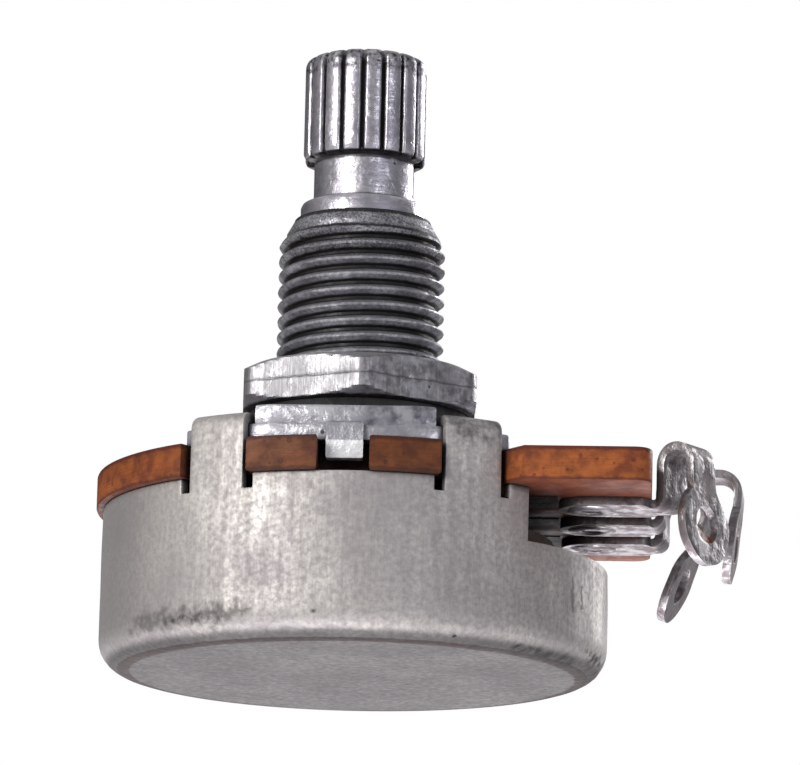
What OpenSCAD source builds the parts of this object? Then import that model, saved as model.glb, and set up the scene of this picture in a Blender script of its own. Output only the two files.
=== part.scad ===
// Rotary potentiometer, 24 mm class, with a threaded bushing and a knurled split shaft.
// Origin: centre of the rear cover's flat back, on the shaft axis.
// +Z runs along the shaft to its knurled end, +X points to the solder terminals,
// and -Y is the side with the keyed notch in the board.

/* [Rear cover] */
// Outer diameter of the drawn metal cover
cover_d = 24; // [23:0.5:26]
// Height of the cover's rim above its flat back
cover_h = 7.6; // [7.4:0.1:9]
// Thickness of the cover's sheet metal
sheet_t = 0.5; // [0.4:0.05:0.6]
// Outer radius of the rounded edge between back and wall
corner_r = 1.4; // [0.9:0.1:1.8]
// Angle of each clinching tab from the Y axis
tab_angle = 29.6; // [27:0.2:32]
// Width of each clinching tab along the rim
tab_w = 2.9; // [2.2:0.1:3.2]
// Distance that a folded tab reaches in from the wall
tab_reach = 2.7; // [2:0.1:3]
// Depth of the relief notch beside each tab
relief_depth = 0.7; // [0.4:0.1:1]
// Half angle of the terminal window, measured from the X axis
window_half_angle = 45.6; // [42:0.2:48]
// Height of the window's sill above the flat back
window_sill = 5.1; // [4.6:0.1:5.6]

/* [Terminal board] */
// Thickness of the laminate board
board_t = 1.6; // [1.4:0.1:1.8]
// Distance that the board's round edge stands proud of the cover
board_lip = 0.3; // [0.1:0.05:0.4]
// Distance from the outer terminals to the sides of the board's tongue
tongue_margin = 3.9; // [3.5:0.1:4.1]
// Distance that the tongue reaches out past the cover
tongue_overhang = 2; // [1.6:0.1:2.6]
// Distance of the rivets inside the cover's outer face
rivet_inset = 0.8; // [0.6:0.05:1]
// Width of the notch for the key of the bushing plate
key_notch_w = 2.4; // [2:0.05:2.6]

/* [Bushing plate] */
// Thickness of the plate at its raised pad
plate_t = 1.65; // [1.5:0.05:1.8]
// Thickness of the lower ledges under the tabs
ledge_t = 0.8; // [0.75:0.05:0.9]
// Depth of the flats at the plate's front and rear, inside its round edge
plate_flat_inset = 0.5; // [0.3:0.05:0.8]
// Distance that the plate's sides stand out past the tabs
plate_side_margin = 0.25; // [0.1:0.05:0.6]
// Radius of the raised pad around the bushing
pad_r = 7.3; // [6.8:0.1:7.3]
// Width of the key that hangs from the plate into the board
key_w = 1.7; // [1.5:0.05:1.7]
// Distance that the key hangs below the plate
key_drop = 0.9; // [0.6:0.1:1.2]
// Outer diameter of the bushing's thread
thread_d = 8; // [8:0.5:9]
// Distance from one ring of the thread to the next
thread_pitch = 0.75; // [0.7:0.05:1]
// Depth of the thread
thread_cut = 0.42; // [0.3:0.02:0.5]
// Height of the bushing's top above the raised pad
bushing_h = 11.15; // [10:0.05:12]
// Height of the tapered lead at the bushing's top
lead_h = 1.35; // [0.8:0.05:1.6]
// Inward step of that tapered lead
lead_step = 0.75; // [0.4:0.05:0.8]
// Radius of the boss at the foot of the bushing
boss_r = 5.3; // [5:0.1:5.4]
// Height of that boss above the raised pad
boss_h = 0.9; // [0.6:0.05:1.1]

/* [Shaft] */
// Diameter of the shaft
shaft_d = 6; // [5.6:0.1:6.2]
// Radial clearance of the shaft in the bushing
shaft_clearance = 0.04; // [0.02:0.01:0.08]
// Height of the plain collar above the bushing
collar_h = 0.85; // [0.6:0.05:1]
// Radius of the neck below the knurl
neck_r = 2.42; // [2.2:0.02:2.6]
// Height of the neck
neck_h = 2.05; // [1.6:0.05:2.4]
// Height of the knurled end
knurl_h = 5.1; // [4.5:0.1:6]
// Number of teeth of the knurl
knurl_teeth = 18; // [12:1:24]
// Depth of the grooves between the teeth
groove_depth = 0.28; // [0.15:0.01:0.32]
// Width of the slot that splits the shaft's end
slot_w = 1; // [0.8:0.05:1.1]
// Turning range of the shaft in degrees
turn_range = 300; // [290:1:304]

/* [Terminals] */
// Distance between neighbouring terminals
terminal_pitch = 5; // [4.8:0.05:5.2]
// Thickness of the terminal strip
terminal_t = 0.4; // [0.3:0.05:0.45]
// Width of the terminal under the board
strip_w = 3; // [2.6:0.1:3.2]
// Width of the terminal's neck
terminal_neck_w = 1.9; // [1.4:0.1:2.1]
// Diameter of the solder eye
eye_d = 3.8; // [3.4:0.1:4]
// Diameter of the hole in the solder eye
eye_hole_d = 1.8; // [1.5:0.1:2]
// Turn of the near terminal towards the front
near_turn = 33; // [20:1:45]
// Span of the near terminal's bend, from leg to leg
near_span = 1.6; // [1.5:0.1:2.4]
// Height at which the near terminal's bend starts, above the flat back
near_rise = 9.3; // [8.6:0.05:9.5]
// Inward lean of the near terminal's outer leg
near_lean = -4; // [-8:1:8]
// Distance from the near terminal's bend to its eye
near_leg = 2.95; // [2.6:0.05:3.4]
// Turn of the middle terminal towards the front
middle_turn = 4; // [0:1:12]
// Span of the middle terminal's bend, from leg to leg
middle_span = 3.7; // [3:0.1:3.9]
// Height at which the middle terminal's bend starts, above the flat back
middle_rise = 8.85; // [8.4:0.05:9.2]
// Inward lean of the middle terminal's outer leg
middle_lean = 8; // [0:1:14]
// Distance from the middle terminal's bend to its eye
middle_leg = 2.15; // [2:0.05:2.8]
// Turn of the far terminal towards the front
far_turn = 10; // [0:1:16]
// Span of the far terminal's bend, from leg to leg
far_span = 2.2; // [2:0.1:2.8]
// Height at which the far terminal's bend starts, above the flat back
far_rise = 8.8; // [8.4:0.05:9]
// Inward lean of the far terminal's outer leg
far_lean = 24; // [15:1:27]
// Distance from the far terminal's bend to its eye
far_leg = 3.2; // [3:0.05:3.4]

/* [Mounting hardware] */
// Width of the hex nut across its flats
nut_af = 11; // [10.5:0.5:12]
// Height of the hex nut
nut_h = 2.2; // [1.8:0.1:2.4]
// Turn of the nut from a corner facing the front
nut_turn = 4.5; // [0:0.5:30]
// Outer diameter of the toothed lock washer
washer_d = 10.8; // [10.4:0.1:11]
// Thickness of the toothed lock washer
washer_t = 0.6; // [0.5:0.05:0.7]
// Number of inner teeth of the lock washer
washer_teeth = 10; // [8:1:12]
// Radial clearance of nut and washer on the bushing
nut_clearance = 0.05; // [0.03:0.01:0.1]

/* [Resistance element] */
// Share of the films' room that the carbon track takes
track_share = 0.48; // [0.35:0.01:0.5]
// Half angle of the gap in the carbon track, measured from the X axis
track_gap_half = 30; // [27:1:34]
// Share of the films' room that the collector ring takes
collector_share = 0.3; // [0.22:0.01:0.34]
// Thickness of the printed films
film_t = 0.05; // [0.04:0.01:0.08]

/* [Rotor] */
// Distance that the moulded rotor reaches past the carbon track
rotor_margin = 0.2; // [0.1:0.05:0.6]
// Thickness of the moulded rotor
rotor_t = 1.4; // [1.2:0.1:1.5]
// Gap between the rotor and the board
rotor_gap = 1.2; // [1.1:0.05:1.3]
// Thickness of the contact spring
wiper_t = 0.2; // [0.15:0.05:0.25]

/* [Hidden] */

// Smoothness of large, middling and small round faces
fine = 96;
mid = 48;
small = 24;
// Steps of an arc that is part of a section
arc_steps = 8;
// Overlap that joins the solids of one piece
weld = 0.02;
// Distance by which a cutting solid passes the face that it cuts
past = 0.5;

// Cover and stack heights, measured from the flat back
cover_r = cover_d / 2;
wall_inner_r = cover_r - sheet_t;
board_z = cover_h;
plate_z = board_z + board_t;
ledge_z = plate_z + ledge_t;
pad_z = plate_z + plate_t;
boss_z = pad_z + boss_h;
washer_z = boss_z;
nut_z = washer_z + washer_t;
bushing_top = pad_z + bushing_h;
collar_top = bushing_top + collar_h;
neck_top = collar_top + neck_h;
shaft_top = neck_top + knurl_h;

// Tab geometry, as angles along the rim
tab_half_angle = asin(tab_w / cover_d);
tab_centres = [-90 - tab_angle, -90 + tab_angle, 90 - tab_angle, 90 + tab_angle];
tab_bend_r = sheet_t + 0.1;
tab_tip_r = cover_r - tab_reach;
tab_slack = 0.3;
tab_room_depth = 1.2;
tab_slack_angle = asin(2 * tab_slack / cover_d);
relief_angle = 2.4;

// Board outline and holes
board_r = cover_r + board_lip;
tab_notch_r = wall_inner_r - 0.1;
board_corner_r = 0.8;
board_tongue_w = 2 * terminal_pitch + strip_w + 2 * tongue_margin;
board_reach = cover_r + tongue_overhang;
key_notch_depth = 1.75;
rivet_hole_r = 0.85;
rivet_x = cover_r - rivet_inset;

// Bushing plate
plate_edge_r = cover_r - tab_bend_r;
plate_front = plate_edge_r - plate_flat_inset;
plate_half_w = cover_r * sin(tab_angle + tab_half_angle) + plate_side_margin;
pad_half_w = cover_r * sin(tab_angle - tab_half_angle);
key_t = 0.7;
stop_clearance = 0.2;
stop_r = shaft_d / 2 + 1.5;
stop_ear_r = stop_r + 1.7;
key_front = plate_front + 0.25;
stop_recess_h = 0.7;
stop_recess_r = stop_ear_r + stop_clearance;
thread_r = thread_d / 2;
thread_root_r = thread_r - thread_cut;
thread_relief = 0.15;
thread_rings = floor((bushing_h - boss_h - lead_h - thread_relief) / thread_pitch);
// Corners of one ring: height above the root and place along the pitch, as shares
thread_profile = [[0, 0], [1, 0.38], [1, 0.62]];
stop_lug_inner_r = stop_r + 2 * stop_clearance;
stop_lug_half_angle = 15;

// Shaft
shaft_r = shaft_d / 2;
bore_r = shaft_r + shaft_clearance;
key_flat = shaft_r - 0.7;
tang_r = shaft_r - 0.4;
tang_flat = tang_r - 0.7;
stake_r = shaft_r - 0.05;
stake_h = 0.35;
edge_r = 0.25;
knurl_round = 0.55;
groove_r = 0.42;
slot_depth = knurl_h + neck_h - 0.3;
fit_slack = 0.03;

// Rings outside one another on the underside of the board: hole, collector and track
ring_inner_r = shaft_r - 0.85;
ring_outer_r = shaft_r + 0.9;
board_hole_r = ring_outer_r + 0.4;
collector_inner_r = board_hole_r + 0.3;
track_outer_r = rivet_x - 2;
films_w = track_outer_r - collector_inner_r;
collector_outer_r = collector_inner_r + collector_share * films_w;
track_inner_r = track_outer_r - track_share * films_w;

// Parts that turn with the shaft inside the case
rotor_top = board_z - rotor_gap;
rotor_z = rotor_top - rotor_t;
stop_top = plate_z + stop_recess_h - 0.05;
stop_t = 0.55;
stop_z = stop_top - stop_t;
stop_slack_angle = 0.4;
stop_ear_half_angle = (360 - turn_range) / 2 - stop_lug_half_angle - stop_slack_angle;
ring_t = 0.5;
ring_z = stop_z - ring_t;
ring_gap_half_angle = 32;
rotor_r = track_outer_r + rotor_margin;
rotor_hub_r = shaft_r + 1.4;
rotor_rib_h = 0.5;
rib_w = 0.8;
rib_count = 6;

// Contact spring
finger_w = 0.35;
finger_gap = 0.15;
finger_count = 3;
finger_length = 2.6;
spring_base_angle = 24;
spring_margin = 0.6;
spring_base_inner_r = collector_inner_r - spring_margin;
spring_base_outer_r = track_outer_r - spring_margin;
spring_turn = 90;
contact_play = 0.05;

// Terminals and eyelets
strip_z = board_z - terminal_t;
leg_gap = 0.2;
terminal_bend_r = 0.95;
strip_end_x = rivet_x - strip_w / 2;
eyelet_r = 0.75;
eyelet_hole_r = 0.45;
eyelet_flange_r = 1.35;
eyelet_flange_t = 0.25;

// Films on the underside of the board
film_z = board_z - film_t;
pad_slack = 0.05;
pad_w = 2.6;
pad_reach_x = strip_end_x - pad_slack;
tail_w = 1.8;

// Nut and washer
nut_bore_r = thread_r + nut_clearance;
nut_corner_r = nut_af / 2 / cos(30);
nut_face_r = nut_af / 2 - 0.15;
nut_chamfer_h = 0.42;
nut_sink = 0.3;
washer_ring_r = nut_bore_r + 0.7;
washer_tooth_w = 1.1;

// A sector of a ring between two radii and two heights, centred on an angle
module ring_sector(inner_r, outer_r, z, height, centre, half_angle) {
    rotate([0, 0, centre - half_angle])
        rotate_extrude(angle = 2 * half_angle, $fn = fine)
            translate([inner_r, z])
                square([outer_r - inner_r, height]);
}

// A flat ring
module flat_ring(inner_r, outer_r, z, height, facets) {
    translate([0, 0, z])
        difference() {
            cylinder(r = outer_r, h = height, $fn = facets);
            translate([0, 0, -past])
                cylinder(r = inner_r, h = height + 2 * past, $fn = facets);
        }
}

// A round bar with two flats that face +Y and -Y
module flatted_bar(r, flat, z, height) {
    intersection() {
        translate([0, 0, z])
            cylinder(r = r, h = height, $fn = mid);
        translate([-r - past, -flat, z - past])
            cube([2 * (r + past), 2 * flat, height + 2 * past]);
    }
}

// Points of an arc about a centre, from one angle to another
function arc(centre, r, from, to) =
    [for (step = [0 : arc_steps])
        let (angle = from + (to - from) * step / arc_steps)
        [centre[0] + r * cos(angle), centre[1] + r * sin(angle)]];

// Section of the whole can, as if one tab ran all the way round it
module can_section() {
    bend_centre = [cover_r - tab_bend_r, ledge_z + sheet_t - tab_bend_r];
    polygon(concat(
        [[0, sheet_t], [0, 0]],
        arc([cover_r - corner_r, corner_r], corner_r, -90, 0),
        arc(bend_centre, tab_bend_r, 0, 90),
        [[tab_tip_r, ledge_z + sheet_t], [tab_tip_r, ledge_z]],
        arc(bend_centre, tab_bend_r - sheet_t, 90, 0),
        arc([cover_r - corner_r, corner_r], corner_r - sheet_t, 0, -90)
    ));
}

// Everything that is cut away round the tabs, between the angles of two edges
module rim_cut(z, from, to) {
    ring_sector(tab_tip_r - past, cover_r + past, z, ledge_z, (from + to) / 2, (to - from) / 2);
}

module rear_cover() {
    color([0.66, 0.65, 0.64])
    difference() {
        rotate_extrude($fn = fine)
            can_section();
        for (tab = [0 : len(tab_centres) - 1]) {
            from = tab_centres[tab] + tab_half_angle;
            to = tab_centres[(tab + 1) % len(tab_centres)] - tab_half_angle + (tab == len(tab_centres) - 1 ? 360 : 0);
            rim_cut(cover_h, from, to);
            rim_cut(cover_h - relief_depth, from, from + relief_angle);
            rim_cut(cover_h - relief_depth, to - relief_angle, to);
        }
        rim_cut(window_sill, -window_half_angle, window_half_angle);
    }
}

// Room that a tab needs in the board and on the plate
module tab_room(inner_r, z, height) {
    for (centre = tab_centres)
        ring_sector(inner_r, board_r + tab_room_depth, z, height, centre, tab_half_angle + tab_slack_angle);
}

// Outline of the plate: flat front and rear, flat sides, round where the tabs fold over it
module plate_outline() {
    intersection() {
        circle(r = plate_edge_r, $fn = fine);
        square([2 * plate_half_w, 2 * plate_front], center = true);
    }
}

// Half section of the bushing, with its boss, thread and tapered lead, from inside the plate
module bushing_section() {
    first = boss_z + thread_relief;
    polygon(concat(
        [[0, pad_z - past], [boss_r, pad_z - past], [boss_r, boss_z], [thread_root_r, boss_z]],
        [for (ring = [0 : thread_rings - 1], corner = thread_profile)
            [thread_root_r + corner[0] * thread_cut, first + (ring + corner[1]) * thread_pitch]],
        [
            [thread_root_r, first + thread_rings * thread_pitch],
            [thread_r, bushing_top - lead_h + weld],
            [thread_r - lead_step, bushing_top],
            [0, bushing_top]
        ]
    ));
}

// Outline of the raised pad
module pad_outline() {
    circle(r = pad_r, $fn = fine);
    square([2 * pad_half_w, 2 * (plate_front + past)], center = true);
}

// Round recess under the plate, in which the stop washer turns, with the stop lug left standing
module stop_recess() {
    difference() {
        translate([0, 0, plate_z - past])
            cylinder(r = stop_recess_r, h = past + stop_recess_h, $fn = fine);
        ring_sector(stop_lug_inner_r, stop_recess_r + past, plate_z - 2 * past, stop_recess_h + 3 * past,
            0, stop_lug_half_angle);
    }
}

module bushing_plate() {
    color([0.72, 0.72, 0.74])
    difference() {
        union() {
            difference() {
                translate([0, 0, plate_z])
                    linear_extrude(plate_t)
                        plate_outline();
                translate([0, 0, ledge_z])
                    linear_extrude(plate_t)
                        difference() {
                            square(4 * cover_r, center = true);
                            pad_outline();
                        }
                tab_room(tab_tip_r - tab_slack, ledge_z, plate_t);
            }
            for (side = [0, 180])
                rotate([0, 0, side])
                    translate([-key_w / 2, -key_front, plate_z - key_drop])
                        cube([key_w, key_t, key_drop + ledge_t]);
            rotate_extrude($fn = fine)
                bushing_section();
        }
        stop_recess();
        translate([0, 0, plate_z - past])
            cylinder(r = bore_r, h = bushing_top - plate_z + 2 * past, $fn = mid);
    }
}

// Outline of the board: a disc with a wide tongue towards the terminals
module board_outline() {
    half = board_tongue_w / 2;
    corner_x = board_reach - board_corner_r;
    corner_y = half - board_corner_r;
    circle(r = board_r, $fn = fine);
    polygon(concat(
        [[0, -half]],
        arc([corner_x, -corner_y], board_corner_r, -90, 0),
        arc([corner_x, corner_y], board_corner_r, 0, 90),
        [[0, half]]
    ));
}

module terminal_board() {
    color([0.60, 0.35, 0.18])
    difference() {
        translate([0, 0, board_z])
            linear_extrude(board_t)
                board_outline();
        translate([0, 0, board_z - past])
            cylinder(r = board_hole_r, h = board_t + 2 * past, $fn = mid);
        tab_room(tab_notch_r, board_z - past, board_t + 2 * past);
        for (side = [0, 180])
            rotate([0, 0, side])
                translate([-key_notch_w / 2, -board_r - past, board_z - past])
                    cube([key_notch_w, past + key_notch_depth + key_t, board_t + 2 * past]);
        for (row = [-1, 0, 1])
            translate([rivet_x, row * terminal_pitch, board_z - past])
                cylinder(r = rivet_hole_r, h = board_t + 2 * past, $fn = small);
    }
}

module carbon_track() {
    color([0.12, 0.12, 0.13])
    ring_sector(track_inner_r, track_outer_r, film_z, film_t, 180, 180 - track_gap_half);
}

module collector_track() {
    color([0.78, 0.77, 0.74])
    union() {
        flat_ring(collector_inner_r, collector_outer_r, film_z, film_t, fine);
        translate([collector_outer_r - film_t, -tail_w / 2, film_z])
            cube([pad_reach_x - collector_outer_r + film_t, tail_w, film_t]);
    }
}

// Silver pad that joins one end of the carbon track to its terminal
module end_pad(side) {
    color([0.80, 0.79, 0.76])
    difference() {
        translate([track_inner_r * cos(track_gap_half), side * terminal_pitch - pad_w / 2, film_z])
            cube([pad_reach_x - track_inner_r * cos(track_gap_half), pad_w, film_t]);
        ring_sector(track_inner_r - past, track_outer_r + pad_slack, film_z - past, film_t + 2 * past,
            180, 180 - track_gap_half + pad_slack);
    }
}

// Flat solder leg with its eye, hanging down from its upper end in the plane x = 0
module solder_leg(leg) {
    translate([terminal_t / 2, 0, -leg])
        rotate([0, -90, 0])
            difference() {
                union() {
                    cylinder(r = eye_d / 2, h = terminal_t, $fn = mid);
                    translate([0, -terminal_neck_w / 2, 0])
                        cube([leg + weld, terminal_neck_w, terminal_t]);
                }
                translate([0, 0, -past])
                    cylinder(r = eye_hole_d / 2, h = terminal_t + 2 * past, $fn = mid);
            }
}

// Strip bent through an angle about the Y axis, from -X round to its far end
module strip_bend(r, angle) {
    rotate([90, 0, 0])
        rotate([0, 0, 180 - angle])
            rotate_extrude(angle = angle, $fn = fine)
                translate([r - terminal_t / 2, -terminal_neck_w / 2])
                    square([terminal_t, terminal_neck_w]);
}

// One terminal: a riveted strip, a leg up the board's end, a bend over and a solder leg
module terminal(row, turn, span, rise, lean, leg) {
    bend_r = min(terminal_bend_r, span / 2);
    crown = span - 2 * bend_r;
    y = row * terminal_pitch;
    neck_half = terminal_neck_w / 2;
    leg_x = board_reach + leg_gap + neck_half * sin(turn) + terminal_t / 2 * cos(turn);
    color([0.70, 0.70, 0.71])
    union() {
        difference() {
            union() {
                translate([rivet_x, y - strip_w / 2, strip_z])
                    cube([board_reach - rivet_x, strip_w, terminal_t]);
                translate([rivet_x, y - neck_half, strip_z])
                    cube([leg_x - rivet_x, terminal_neck_w, terminal_t]);
                translate([leg_x, y, strip_z])
                    cylinder(r = neck_half, h = terminal_t, $fn = small);
                translate([rivet_x, y, strip_z])
                    cylinder(r = strip_w / 2, h = terminal_t, $fn = mid);
            }
            translate([rivet_x, y, strip_z - past])
                cylinder(r = rivet_hole_r, h = terminal_t + 2 * past, $fn = small);
        }
        translate([leg_x, y, 0])
            rotate([0, 0, -turn]) {
                translate([-terminal_t / 2, -neck_half, strip_z])
                    cube([terminal_t, terminal_neck_w, rise - strip_z + weld]);
                translate([bend_r, 0, rise])
                    strip_bend(bend_r, 90);
                translate([bend_r - weld, -neck_half, rise + bend_r - terminal_t / 2])
                    cube([crown + 2 * weld, terminal_neck_w, terminal_t]);
                translate([bend_r + crown, 0, rise]) {
                    rotate([0, 90, 0])
                        strip_bend(bend_r, 90 + lean);
                    rotate([0, lean, 0])
                        translate([bend_r, 0, 0])
                            solder_leg(leg);
                }
            }
    }
}

// Tubular rivet that holds one terminal to the board
module eyelet(row) {
    color([0.62, 0.61, 0.60])
    translate([rivet_x, row * terminal_pitch, 0])
        difference() {
            union() {
                translate([0, 0, strip_z - eyelet_flange_t])
                    cylinder(r = eyelet_r, h = board_t + terminal_t + 2 * eyelet_flange_t, $fn = small);
                for (z = [strip_z - eyelet_flange_t, plate_z])
                    translate([0, 0, z])
                        cylinder(r = eyelet_flange_r, h = eyelet_flange_t, $fn = small);
            }
            translate([0, 0, strip_z - past])
                cylinder(r = eyelet_hole_r, h = board_t + terminal_t + 2 * past, $fn = small);
        }
}

// Half section of the round part of the shaft, from the keyed part to the top
module shaft_section() {
    polygon([
        [0, stop_top],
        [shaft_r, stop_top],
        [shaft_r, collar_top - edge_r],
        [shaft_r - edge_r, collar_top],
        [neck_r, collar_top],
        [neck_r, neck_top],
        [shaft_r - edge_r, neck_top],
        [shaft_r, neck_top + edge_r],
        [shaft_r, shaft_top - knurl_round],
        [shaft_r - knurl_round / 4, shaft_top - knurl_round / 3],
        [shaft_r - knurl_round, shaft_top],
        [0, shaft_top]
    ]);
}

module control_shaft() {
    color([0.80, 0.80, 0.82])
    difference() {
        union() {
            rotate_extrude($fn = mid)
                shaft_section();
            flatted_bar(shaft_r, key_flat, rotor_top, stop_top - rotor_top + weld);
            flatted_bar(tang_r, tang_flat, rotor_z - weld, rotor_t + 2 * weld);
            translate([0, 0, rotor_z - stake_h])
                cylinder(r = stake_r, h = stake_h, $fn = mid);
        }
        flat_ring(ring_inner_r + fit_slack, shaft_r + past, ring_z, ring_t, mid);
        for (tooth = [0 : knurl_teeth - 1])
            rotate([0, 0, (tooth + 0.5) * 360 / knurl_teeth])
                translate([shaft_r - groove_depth + groove_r, 0, neck_top - weld])
                    cylinder(r = groove_r, h = knurl_h + past, $fn = small);
        translate([-shaft_r - past, -slot_w / 2, shaft_top - slot_depth])
            cube([2 * (shaft_r + past), slot_w, slot_depth + past]);
    }
}

module stop_washer() {
    color([0.62, 0.62, 0.64])
    difference() {
        union() {
            translate([0, 0, stop_z])
                cylinder(r = stop_r, h = stop_t, $fn = mid);
            ring_sector(stop_r - past, stop_ear_r, stop_z, stop_t, 180, stop_ear_half_angle);
        }
        flatted_bar(shaft_r + fit_slack, key_flat + fit_slack, stop_z - past, stop_t + 2 * past);
    }
}

module retaining_ring() {
    color([0.30, 0.30, 0.32])
    ring_sector(ring_inner_r + 2 * fit_slack, ring_outer_r, ring_z + fit_slack, ring_t - 2 * fit_slack,
        90, 180 - ring_gap_half_angle);
}

module rotor() {
    color([0.16, 0.13, 0.11])
    difference() {
        union() {
            translate([0, 0, rotor_z])
                cylinder(r = rotor_hub_r, h = rotor_t, $fn = mid);
            translate([0, 0, rotor_z + rotor_rib_h])
                cylinder(r = rotor_r, h = rotor_t - rotor_rib_h, $fn = fine);
            for (rib = [0 : rib_count - 1])
                rotate([0, 0, (rib + 0.5) * 360 / rib_count])
                    translate([rotor_hub_r - rib_w, -rib_w / 2, rotor_z])
                        cube([rotor_r - rotor_hub_r, rib_w, rotor_rib_h + weld]);
        }
        flatted_bar(tang_r + fit_slack, tang_flat + fit_slack, rotor_z - past, rotor_t + 2 * past);
    }
}

// Group of sprung fingers that run round a track of the given middle radius
module fingers(track_r) {
    rise = rotor_gap - film_t - contact_play;
    for (finger = [0 : finger_count - 1]) {
        tip_r = track_r + (finger - (finger_count - 1) / 2) * (finger_w + finger_gap);
        translate([sqrt(tip_r * tip_r - finger_length * finger_length) - finger_w / 2, 0, rotor_top])
            rotate([90, 0, 90])
                linear_extrude(finger_w)
                    polygon([
                        [-wiper_t, 0],
                        [wiper_t, 0],
                        [finger_length, rise - wiper_t],
                        [finger_length, rise],
                        [finger_length - wiper_t, rise],
                        [-wiper_t, wiper_t]
                    ]);
    }
}

module contact_spring() {
    color([0.78, 0.58, 0.34])
    rotate([0, 0, spring_turn])
    union() {
        ring_sector(spring_base_inner_r, spring_base_outer_r, rotor_top, wiper_t,
            -spring_base_angle / 2, spring_base_angle / 2);
        fingers((track_inner_r + track_outer_r) / 2);
        fingers((collector_inner_r + collector_outer_r) / 2);
    }
}

module lock_washer() {
    color([0.20, 0.20, 0.21])
    union() {
        flat_ring(washer_ring_r, washer_d / 2, washer_z, washer_t, fine);
        for (tooth = [0 : washer_teeth - 1])
            rotate([0, 0, tooth * 360 / washer_teeth])
                translate([nut_bore_r + fit_slack, -washer_tooth_w / 2, washer_z])
                    cube([washer_ring_r - nut_bore_r, washer_tooth_w, washer_t]);
    }
}

// Half section that rounds off both ends of the nut's corners and opens its bore
module nut_section() {
    polygon([
        [nut_bore_r + nut_sink, 0],
        [nut_face_r, 0],
        [nut_corner_r, nut_chamfer_h],
        [nut_corner_r, nut_h - nut_chamfer_h],
        [nut_face_r, nut_h],
        [nut_bore_r + nut_sink, nut_h],
        [nut_bore_r, nut_h - nut_sink],
        [nut_bore_r, nut_sink]
    ]);
}

module hex_nut() {
    color([0.74, 0.74, 0.76])
    translate([0, 0, nut_z])
        rotate([0, 0, nut_turn - 90])
            intersection() {
                cylinder(r = nut_corner_r, h = nut_h, $fn = 6);
                rotate_extrude($fn = fine)
                    nut_section();
            }
}

rear_cover();
bushing_plate();
terminal_board();
carbon_track();
collector_track();
end_pad(-1);  // end_pad_near
end_pad(1);  // end_pad_far
terminal(-1, near_turn, near_span, near_rise, near_lean, near_leg);  // terminal_near
terminal(0, middle_turn, middle_span, middle_rise, middle_lean, middle_leg);  // terminal_middle
terminal(1, far_turn, far_span, far_rise, far_lean, far_leg);  // terminal_far
eyelet(-1);  // eyelet_near
eyelet(0);  // eyelet_middle
eyelet(1);  // eyelet_far
control_shaft();
stop_washer();
retaining_ring();
rotor();
contact_spring();
lock_washer();
hex_nut();
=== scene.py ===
import bpy
import bmesh
import math
import random
from mathutils import Matrix, Vector, noise


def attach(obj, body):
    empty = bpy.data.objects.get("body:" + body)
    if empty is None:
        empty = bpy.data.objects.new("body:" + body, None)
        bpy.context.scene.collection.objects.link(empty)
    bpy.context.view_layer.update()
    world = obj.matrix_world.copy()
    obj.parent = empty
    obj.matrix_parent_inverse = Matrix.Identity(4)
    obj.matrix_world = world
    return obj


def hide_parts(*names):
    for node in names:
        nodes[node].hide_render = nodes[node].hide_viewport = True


# Rotary potentiometer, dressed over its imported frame. Lengths below are in millimetres.

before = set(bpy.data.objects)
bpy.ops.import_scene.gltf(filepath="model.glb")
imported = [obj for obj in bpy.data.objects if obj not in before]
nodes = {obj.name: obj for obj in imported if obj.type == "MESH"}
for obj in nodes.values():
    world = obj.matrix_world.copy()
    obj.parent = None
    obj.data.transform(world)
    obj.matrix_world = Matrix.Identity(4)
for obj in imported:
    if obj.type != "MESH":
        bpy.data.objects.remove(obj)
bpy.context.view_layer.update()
mm = 0.001
print("frame loaded:", len(nodes), "nodes")


# small mesh helpers

# points nearer than this merge, in a built piece and in a copy of the frame's solid, and shorter edges go
weldGap, seamGap, shortEdge = 0.002, 0.001, 0.0001


def addObject(name, data):
    obj = bpy.data.objects.new(name, data)
    bpy.context.scene.collection.objects.link(obj)
    return obj


def meshFrom(verts, faces, name="part"):
    mesh = bpy.data.meshes.new(name)
    mesh.from_pydata([(x * mm, y * mm, z * mm) for x, y, z in verts], [], faces)
    return mesh


def rework(mesh, work):
    # work changes the mesh through bmesh
    bm = bmesh.new()
    bm.from_mesh(mesh)
    work(bm)
    bm.to_mesh(mesh)
    bm.free()
    return mesh


def bareCopy(name):
    # the frame's own solid as a mesh to work on
    mesh = nodes[name].data.copy()
    mesh.materials.clear()
    return mesh


def smoothMesh(mesh, sharp):
    mesh.shade_smooth()
    mesh.set_sharp_from_angle(angle=math.radians(sharp))


def weld(bm):
    bmesh.ops.remove_doubles(bm, verts=bm.verts, dist=weldGap * mm)
    bmesh.ops.dissolve_degenerate(bm, edges=bm.edges, dist=shortEdge * mm)
    bmesh.ops.recalc_face_normals(bm, faces=bm.faces)


def addMesh(name, mesh, body, sharp=35):
    smoothMesh(rework(mesh, weld), sharp)
    obj = addObject(name, mesh)
    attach(obj, body)
    return obj


def addPiece(name, verts, faces, body, sharp=35):
    return addMesh(name, meshFrom(verts, faces, name), body, sharp)


def evaluated(obj):
    bpy.context.view_layer.update()
    return bpy.data.meshes.new_from_object(obj.evaluated_get(bpy.context.evaluated_depsgraph_get()))


def applyModifiers(obj, sharp=35):
    mesh = evaluated(obj)
    obj.modifiers.clear()
    obj.data = mesh
    smoothMesh(mesh, sharp)
    return obj


def thicken(obj, thickness, offset):
    sheet = obj.modifiers.new("sheet", "SOLIDIFY")
    sheet.thickness = thickness * mm
    sheet.offset = offset
    sheet.use_even_offset = True


def cutWith(obj, tool):
    cut = obj.modifiers.new("cut", "BOOLEAN")
    cut.object = tool
    cut.solver = "EXACT"


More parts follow.
